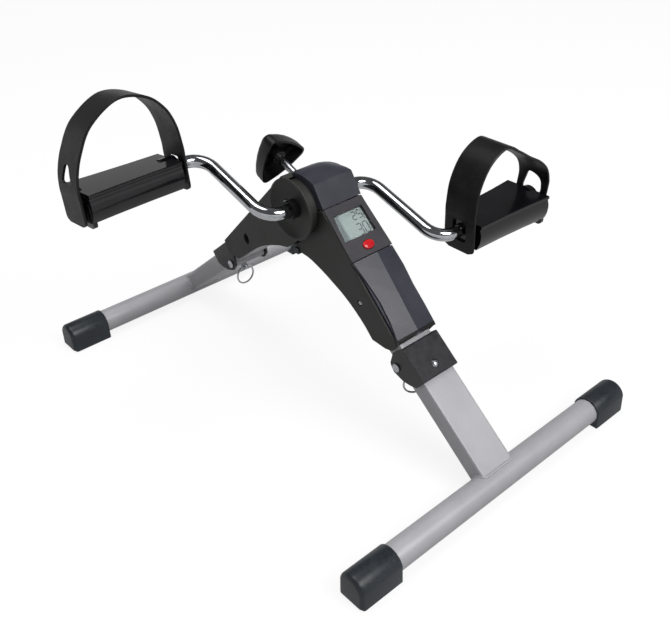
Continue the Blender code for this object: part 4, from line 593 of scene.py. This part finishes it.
def weld_bead(end):
    low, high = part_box(end + "_crossbar")
    bar = Vector(((low[0] + high[0]) / 2, 0.0, (low[2] + high[2]) / 2))
    bar_r = (high[2] - low[2]) / 2
    along = (HUB - bar).normalized()
    up = Vector((-along.z, 0.0, along.x)) * (1.0 if along.x > 0 else -1.0)
    tube_low, tube_high = reach(end + "_leg_tube", ACROSS)
    under, over = (value - bar.dot(up) for value in reach(end + "_leg_tube", up))
    half_high = (over - under) / 2
    walk = tube_walk((tube_high - tube_low) / 2, half_high)
    path = []
    for spot, out in walk:
        drop = math.sqrt(max(bar_r ** 2 - spot.y ** 2, 0.0))
        path.append((bar + ACROSS * spot.x + up * spot.y + along * drop, ACROSS * out.x + up * out.y))
    rings = []
    run = 0.0
    for i, (point, out) in enumerate(path):
        run += (point - path[i - 1][0]).length if i else 0.0
        radius = BEAD_R * (1.0 + BEAD_RIPPLE * abs(math.sin(math.pi * run / BEAD_PITCH)))
        ring = []
        for k in range(BEAD_SIDES):
            angle = math.radians(360.0 * k / BEAD_SIDES)
            ring.append(point + (out * math.cos(angle) + along * math.sin(angle)) * radius)
        rings.append(ring)
    mesh = skinned(end + "_weld", rings, loop=True, smooth_to=80.0)
    tube = end + "_leg_tube"
    linked(end + "_weld_bead", mesh, POWDER_COAT, BODY_OF[tube])
    print(end, "weld bead:", round(1000 * run), "mm round")


for end in ENDS:
    weld_bead(end)

# %% [markdown]
# The housing is held by pan head screws with a cross recess. The recess is cut from each head as the
# punch forms it: two crossed slots that narrow towards the bottom.

# %% Cross recesses
RECESS_SPAN = 0.0030
RECESS_WIDTH = 0.0007
RECESS_DEPTH = 0.0010
RECESS_TAPER = 0.45
RECESS_TURN = 20.0
RECTANGLE = ((-1, -1), (1, -1), (1, 1), (-1, 1))


def cross_recess(node, side):
    piece = SKINS[node]
    low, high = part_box(node)
    face = high[1] if side > 0 else low[1]
    middle = Vector(((low[0] + high[0]) / 2, face, (low[2] + high[2]) / 2))
    for turn in (RECESS_TURN, RECESS_TURN + 90.0):
        angle = math.radians(turn)
        long_way = Vector((math.cos(angle), 0.0, math.sin(angle)))
        short_way = Vector((-math.sin(angle), 0.0, math.cos(angle)))
        rings = []
        for depth, share in ((-RECESS_DEPTH, 1.0), (RECESS_DEPTH, RECESS_TAPER)):
            ring = []
            for a, b in RECTANGLE:
                slot = long_way * a * RECESS_SPAN / 2 * share + short_way * b * RECESS_WIDTH / 2
                ring.append(middle + slot - ACROSS * side * depth)
            rings.append(ring)
        cut_away(piece, skinned("recess_slot", rings))


for hand, side in SIDES.items():
    for screw in SCREWS:
        cross_recess(f"{hand}_{screw}", side)
print("recess:", RECESS_SPAN * 1000, "mm across,", RECESS_DEPTH * 1000, "mm deep")

# %% [markdown]
# A dipped vinyl cap has the shape of its mould: an arch that runs straight down to a flat foot, closed by
# an end that rolls off all round. The roll is drawn as sections that draw in along a quarter circle.

# %% Floor bar caps
CAP_ROLL = 0.0042
CAP_ROLL_STEPS = 7
CAP_FOOT_ROLL = 0.4
CAP_RIM_BEVEL = 0.0008
CAP_RIM_BREAK = 0.3
CAP_ARC_FROM, CAP_ARC_TO = 14.0, 166.0
CAP_ARC_STEPS = 36


def cap_section(middle_x, middle_z, radius, foot_half, inset, y):
    """The outline of a cap, drawn in by inset."""
    ring = []
    for k in range(CAP_ARC_STEPS + 1):
        angle = math.radians(CAP_ARC_FROM + (CAP_ARC_TO - CAP_ARC_FROM) * k / CAP_ARC_STEPS)
        x = middle_x + (radius - inset) * math.cos(angle)
        ring.append(Vector((x, y, middle_z + (radius - inset) * math.sin(angle))))
    for across in (-foot_half + inset, foot_half - inset):
        ring.append(Vector((middle_x + across, y, min(inset, CAP_FOOT_ROLL * CAP_ROLL))))
    return ring


def rolled_cap(end, hand):
    node = f"{end}_{hand}_cap"
    low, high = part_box(node)
    bar_low, bar_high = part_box(end + "_crossbar")
    middle_x = (bar_low[0] + bar_high[0]) / 2
    middle_z = (bar_low[2] + bar_high[2]) / 2
    radius = high[2] - middle_z
    foot_half = (high[0] - low[0]) / 2
    side = SIDES[hand]
    rim = min(abs(low[1]), abs(high[1]))
    end_y = max(abs(low[1]), abs(high[1]))
    break_at = CAP_RIM_BREAK * CAP_RIM_BEVEL
    stations = [(rim, CAP_RIM_BEVEL), (rim + break_at, break_at), (rim + CAP_RIM_BEVEL, 0.0)]
    for k in range(CAP_ROLL_STEPS + 1):
        angle = math.radians(90.0 * k / CAP_ROLL_STEPS)
        stations.append((end_y - CAP_ROLL + CAP_ROLL * math.sin(angle), CAP_ROLL * (1 - math.cos(angle))))
    rings = [cap_section(middle_x, middle_z, radius, foot_half, inset, side * y) for y, inset in stations]
    mesh = skinned(node + "_rolled", rings, smooth_to=50.0)
    piece = linked(node + "_skin", mesh, CAP_VINYL, BODY_OF[node])
    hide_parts(node)


for end in ENDS:
    for hand in SIDES:
        rolled_cap(end, hand)
print("caps roll off over", CAP_ROLL * 1000, "mm")

# %% [markdown]
# A foot strap is a band of soft PVC, cut flat and sprung into an arch between its two ends. Its edges are
# rounded by the cutting die. The band is drawn along a smooth line, as rings of one thin section that
# narrow at the feet, and its openings are punched out afterwards: a fastening hole and the crank's slot.

# %% Foot straps' sizes
STRAP_T = 0.0025
STRAP_HALF = 0.0190
STRAP_EDGE = 0.0007
STRAP_FOOT = 0.0217
FOOT_CORNER = 0.0060
STRAP_SLACK = 0.0003
LINE_STEPS = 10
# Degrees that each pedal is turned about its axis in the solids.
PEDAL_TILT = {"left": -7.0, "right": 0.0}
# Points on a strap's line: the share of the way from its inner to its outer leg, and metres over the axle.
STRAP_LINE = {
    "left": [(1.0, 0.0), (1.0, 0.0115), (0.979, 0.0260), (0.915, 0.0445), (0.786, 0.0665), (0.532, 0.0826),
             (0.279, 0.0775), (0.118, 0.0625), (0.035, 0.0440), (0.003, 0.0230), (0.0, 0.0110), (0.0, 0.0)],
    "right": [(1.0, 0.0), (1.020, 0.0115), (1.031, 0.0220), (0.990, 0.0350), (0.880, 0.0465), (0.710, 0.0575),
              (0.560, 0.0680), (0.390, 0.0775), (0.180, 0.0680), (0.046, 0.0470), (0.002, 0.0230),
              (0.0, 0.0110), (0.0, 0.0)],
}
# Towards its top a strap's front edge draws back a little, and the left strap leans forward, as a band does
# that has been sprung over a shoe for a while.
DRAW_BACK = 0.0010
LEAN = {"left": 0.0080, "right": 0.0}
TOP_HEIGHT = 0.0835
OPENING = {"left": [(-0.0105, 0.0165), (0.0085, 0.0165), (0.0030, 0.0335), (-0.0045, 0.0335)],
           "right": [(-0.0130, 0.0035), (0.0125, 0.0035), (0.0095, 0.0215), (-0.0070, 0.0275)]}
CRANK_SLOT = [(-0.0085, -0.0110), (0.0085, -0.0110), (0.0085, 0.0110), (-0.0085, 0.0110)]
OPENING_ROUND, SLOT_ROUND = 0.45, 0.2
PUNCH_REACH = 0.02
print("straps are", 2000 * STRAP_HALF, "mm wide and", 1000 * STRAP_T, "mm thick")

# %% [markdown]
# A smooth line through a few points is a Catmull-Rom curve, which passes through each of them. An opening's
# corners are rounded by short Bezier arcs, because soft PVC tears from a sharp corner.

# %% Smooth lines and outlines
def smooth_line(points, steps):
    """A smooth curve through the points, evenly divided between them."""
    ends = [Vector(p) for p in points]
    ends = [ends[0] * 2 - ends[1]] + ends + [ends[-1] * 2 - ends[-2]]
    line = []
    for a, b, c, d in zip(ends, ends[1:], ends[2:], ends[3:]):
        for k in range(steps):
            t = k / steps
            line.append(0.5 * (2 * b + (c - a) * t + (2 * a - 5 * b + 4 * c - d) * t ** 2
                               + (3 * b - a - 3 * c + d) * t ** 3))
    return line + [ends[-2]]


def rounded_outline(points, share, steps=6):
    """A closed outline whose corners are arcs that take up a share of its shortest side."""
    sides = [(Vector(b) - Vector(a)).length for a, b in zip(points, points[1:] + points[:1])]
    cut = share * min(sides)
    outline = []
    for i, corner in enumerate(points):
        p = Vector(corner)
        a = p + (Vector(points[i - 1]) - p).normalized() * cut
        b = p + (Vector(points[(i + 1) % len(points)]) - p).normalized() * cut
        for k in range(steps + 1):
            t = k / steps
            outline.append(a * (1 - t) ** 2 + p * 2 * t * (1 - t) + b * t ** 2)
    return outline


print("corner of the crank's slot:", len(rounded_outline(CRANK_SLOT, SLOT_ROUND)) // 4, "points")

# %% [markdown]
# The band's section is a flat bar with its long edges broken. It is carried along the line, square to it,
# and turned with the pedal. Both straps take their reach from the left one, whose legs are straight.

# %% Foot straps
def strap_frame(hand):
    """The pedal axis at the object's middle, and the strap's own width and upward directions."""
    tilt = math.radians(PEDAL_TILT[hand])
    axis = JOINTS[hand + "_pedal_spin"]["pos_m"]
    wide = Vector((math.cos(tilt), 0.0, -math.sin(tilt)))
    return Vector((axis[0], 0.0, axis[2])), wide, Vector((math.sin(tilt), 0.0, math.cos(tilt)))


def band_section(half):
    """The corners of the band's section: across its width, and through its thickness."""
    thick = STRAP_T / 2
    return ((-half + STRAP_EDGE, thick), (half - STRAP_EDGE, thick), (half, thick - STRAP_EDGE),
            (half, STRAP_EDGE - thick), (half - STRAP_EDGE, -thick), (STRAP_EDGE - half, -thick),
            (-half, STRAP_EDGE - thick), (-half, thick - STRAP_EDGE))


def sprung_strap(hand):
    node = hand + "_strap"
    side = SIDES[hand]
    low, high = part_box("left_strap")
    out, inner = -low[1] - STRAP_T / 2 - STRAP_SLACK, -high[1] + STRAP_T / 2
    origin, wide, up = strap_frame(hand)
    line = [Vector((inner + share * (out - inner), height)) for share, height in STRAP_LINE[hand]]
    line = [Vector((line[0].x, -STRAP_FOOT))] + line + [Vector((line[-1].x, -STRAP_FOOT))]
    line = smooth_line(line, LINE_STEPS)
    rings = []
    for i, p in enumerate(line):
        along = (line[min(i + 1, len(line) - 1)] - line[max(i - 1, 0)]).normalized()
        off = Vector((-along.y, along.x))
        corner = min(max(FOOT_CORNER - (p.y + STRAP_FOOT), 0.0), FOOT_CORNER)
        half = STRAP_HALF - (FOOT_CORNER - math.sqrt(FOOT_CORNER ** 2 - corner ** 2))
        raised = min(max(p.y / TOP_HEIGHT, 0.0), 1.0) ** 2
        ring = []
        for x, t in band_section(half):
            spot = p + off * t
            shift = raised * (LEAN[hand] - DRAW_BACK * (x / half + 1) / 2)
            ring.append(origin + wide * (x + shift) + ACROSS * side * spot.x + up * spot.y)
        rings.append(ring)
    mesh = skinned(node + "_band", rings, smooth_to=50.0)
    piece = linked(node + "_skin", mesh, STRAP_PVC, BODY_OF[node])
    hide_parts(node)
    hole = rounded_outline(OPENING[hand], OPENING_ROUND)
    slot = rounded_outline(CRANK_SLOT, SLOT_ROUND)
    for outline, y0, y1 in ((hole, (out + inner) / 2, out + PUNCH_REACH),
                            (slot, inner - PUNCH_REACH, inner + PUNCH_REACH)):
        rings = [[origin + wide * p.x + ACROSS * side * y + up * p.y for p in outline] for y in (y0, y1)]
        cut_away(piece, skinned(node + "_punch", rings))


for hand in SIDES:
    sprung_strap(hand)
    low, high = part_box(hand + "_strap")
    print(hand, "strap:", [round(1000 * (b - a)) for a, b in zip(low, high)], "mm")

# %% [markdown]
# The front cover's raised panel has a sharp ridge, and its far side bows out to the edge of the shell. Its
# lower end is closed by a dark lip, which rolls down over the end of the shells.

# %% Front cover's panel and lip
# The way down the cover and the way out of it, both square to the crank's axis.
COVER_DOWN = Vector((0.6995, 0.0, -0.7147))
COVER_OUT = Vector((0.7147, 0.0, 0.6995))
FAR_BOW = 0.0046
BOW_FROM = 0.0120
BOW_FULLNESS = 0.6
END_BAND = 0.0004
LIP_PROUD = 0.0002
LIP_SAG = 0.0006
LIP_NEAR, LIP_FAR = -0.0238, 0.0226
LIP_STEPS = 12
# The lip's section: along the cover past its end, and out from its ridge.
LIP_SECTION = [(-0.0036, 0.0), (-0.0018, -0.0001), (0.0, -0.0006), (0.0004, -0.0014), (0.0004, -0.0024),
               (-0.0036, -0.0024)]


def bow_far_side(piece, start, end):
    """Moves the side beyond BOW_FROM outwards, most in the middle of the cover's length."""
    for vertex in piece.data.vertices:
        if vertex.co.y > BOW_FROM:
            share = (vertex.co.dot(COVER_DOWN) - start) / (end - start)
            vertex.co.y += FAR_BOW * math.sin(math.pi * min(max(share, 0.0), 1.0)) ** BOW_FULLNESS


cover_start, cover_end = reach("front_cover", COVER_DOWN)
bow_far_side(SKINS["front_cover"], cover_start, cover_end)
corners = [v.co for v in NODES["front_cover"].data.vertices]
lip_top = max(co.dot(COVER_OUT) for co in corners if co.dot(COVER_DOWN) > cover_end - END_BAND)
sections = []
for k in range(LIP_STEPS + 1):
    y = LIP_NEAR + (LIP_FAR - LIP_NEAR) * k / LIP_STEPS
    ridge = COVER_DOWN * cover_end + COVER_OUT * (lip_top - LIP_SAG * abs(y) / LIP_FAR + LIP_PROUD)
    sections.append([ridge + COVER_DOWN * u + COVER_OUT * h + ACROSS * y for u, h in LIP_SECTION])
lip_mesh = skinned("cover_lip", sections, smooth_to=60.0)
linked("front_cover_lip", lip_mesh, KNOB_ABS, "frame")
print("front cover:", round(1000 * (cover_end - cover_start), 1), "mm long")

# %% [markdown]
# The floor is a white paper sweep. The camera sees it mostly as plain white, with a little of its own
# shading left in, so that the object keeps a faint shadow. Gloss and chrome mirror it greyer than it looks,
# and it lights the object from below with a soft grey.

# %% Floor
FLOOR_SIZE = 30.0
FLOOR_BELOW = 0.0005
FLOOR_WHITE = 0.86
FLOOR_REFLECTED = 0.5


def pale_floor():
    """White paper: what sees it directly finds it evenly lit, and what it lights gets a soft grey."""
    material = bpy.data.materials.new("pale floor")
    material.use_nodes = True
    tree = material.node_tree
    tree.nodes.remove(tree.nodes["Principled BSDF"])
    path = add(tree, "ShaderNodeLightPath", {})
    seen = add(tree, "ShaderNodeMath", {"operation": "MAXIMUM", 0: path.outputs["Is Camera Ray"],
                                        1: path.outputs["Is Transmission Ray"]})
    direct = add(tree, "ShaderNodeMath", {"operation": "MULTIPLY", 0: seen.outputs[0], 1: FLOOR_WHITE})
    mirrored = add(tree, "ShaderNodeMath", {"operation": "MULTIPLY", 0: path.outputs["Is Glossy Ray"],
                                            1: FLOOR_REFLECTED})
    share = add(tree, "ShaderNodeMath", {"operation": "MAXIMUM", 0: direct.outputs[0],
                                         1: mirrored.outputs[0]})
    tone = add(tree, "ShaderNodeMix", {"data_type": "RGBA", 0: seen.outputs[0], 6: srgb("#7c7c7c"),
                                       7: srgb("#f2f2f2")})
    paper = add(tree, "ShaderNodeBsdfDiffuse", {"Color": tone.outputs[2]})
    white = add(tree, "ShaderNodeEmission", {"Color": (1.0, 1.0, 1.0, 1.0), "Strength": 1.0})
    both = add(tree, "ShaderNodeMixShader", {0: share.outputs[0], 1: paper.outputs[0], 2: white.outputs[0]})
    tree.links.new(both.outputs[0], tree.nodes["Material Output"].inputs["Surface"])
    return material


bpy.ops.mesh.primitive_plane_add(size=FLOOR_SIZE, location=(0.0, 0.0, -FLOOR_BELOW))
floor = bpy.context.object
floor.name = "floor"
floor.data.materials.append(pale_floor())
print("floor:", FLOOR_SIZE, "m wide, white share", FLOOR_WHITE, "seen and", FLOOR_REFLECTED, "mirrored")

# %% [markdown]
# A large softbox in front and one above light the object, at a level at which a colour looks about as it is
# written. The world is the white room. In reflections it is white low down and dark overhead, as a studio
# is above its sweep, which gives the covers and the chrome their contrast.

# %% Lamps and world
ROOM_LEVEL = 0.55
SWEEP_TOP, CEILING_FROM = 0.05, 0.28
CEILING_LEVEL = 0.12
MIDDLE = (0.0, 0.0, 0.15)


def soft_lamp(name, place, aim, size, power):
    """A round softbox that points at a spot."""
    lamp = bpy.data.objects.new(name, bpy.data.lights.new(name, "AREA"))
    lamp.data.shape = "DISK"
    lamp.data.size = size
    lamp.data.energy = power
    turned = (Vector(aim) - Vector(place)).to_track_quat("-Z", "Y").to_matrix().to_4x4()
    lamp.matrix_world = Matrix.Translation(place) @ turned
    bpy.context.scene.collection.objects.link(lamp)


soft_lamp("key", (1.85, 0.40, 1.9), MIDDLE, 1.3, 40.0)
soft_lamp("top", (-0.3, -0.2, 2.5), MIDDLE, 1.4, 24.0)

world = bpy.data.worlds.new("studio")
bpy.context.scene.world = world
world.use_nodes = True
sky = world.node_tree
background = sky.nodes["Background"]
path = add(sky, "ShaderNodeLightPath", {})
seen = add(sky, "ShaderNodeMath", {"operation": "MAXIMUM", 0: path.outputs["Is Camera Ray"],
                                   1: path.outputs["Is Transmission Ray"]})
# A ray's direction has the height 0 at the horizon and 1 straight up. The white turns dark from SWEEP_TOP to
# CEILING_FROM, which are 3 and 16 degrees above the horizon.
height = add(sky, "ShaderNodeSeparateXYZ", {0: add(sky, "ShaderNodeTexCoord", {}).outputs["Generated"]})
ceiling = add(sky, "ShaderNodeMapRange", {0: height.outputs[2], 1: SWEEP_TOP, 2: CEILING_FROM, 3: 1.0,
                                          4: CEILING_LEVEL})
mirrored = add(sky, "ShaderNodeMapRange", {0: path.outputs["Is Glossy Ray"], 1: 0.0, 2: 1.0, 3: ROOM_LEVEL,
                                           4: ceiling.outputs[0]})
level = add(sky, "ShaderNodeMapRange", {0: seen.outputs[0], 1: 0.0, 2: 1.0, 3: mirrored.outputs[0], 4: 1.0})
sky.links.new(level.outputs[0], background.inputs["Strength"])
background.inputs["Color"].default_value = (1.0, 1.0, 1.0, 1.0)
bpy.context.scene.view_settings.view_transform = "Standard"
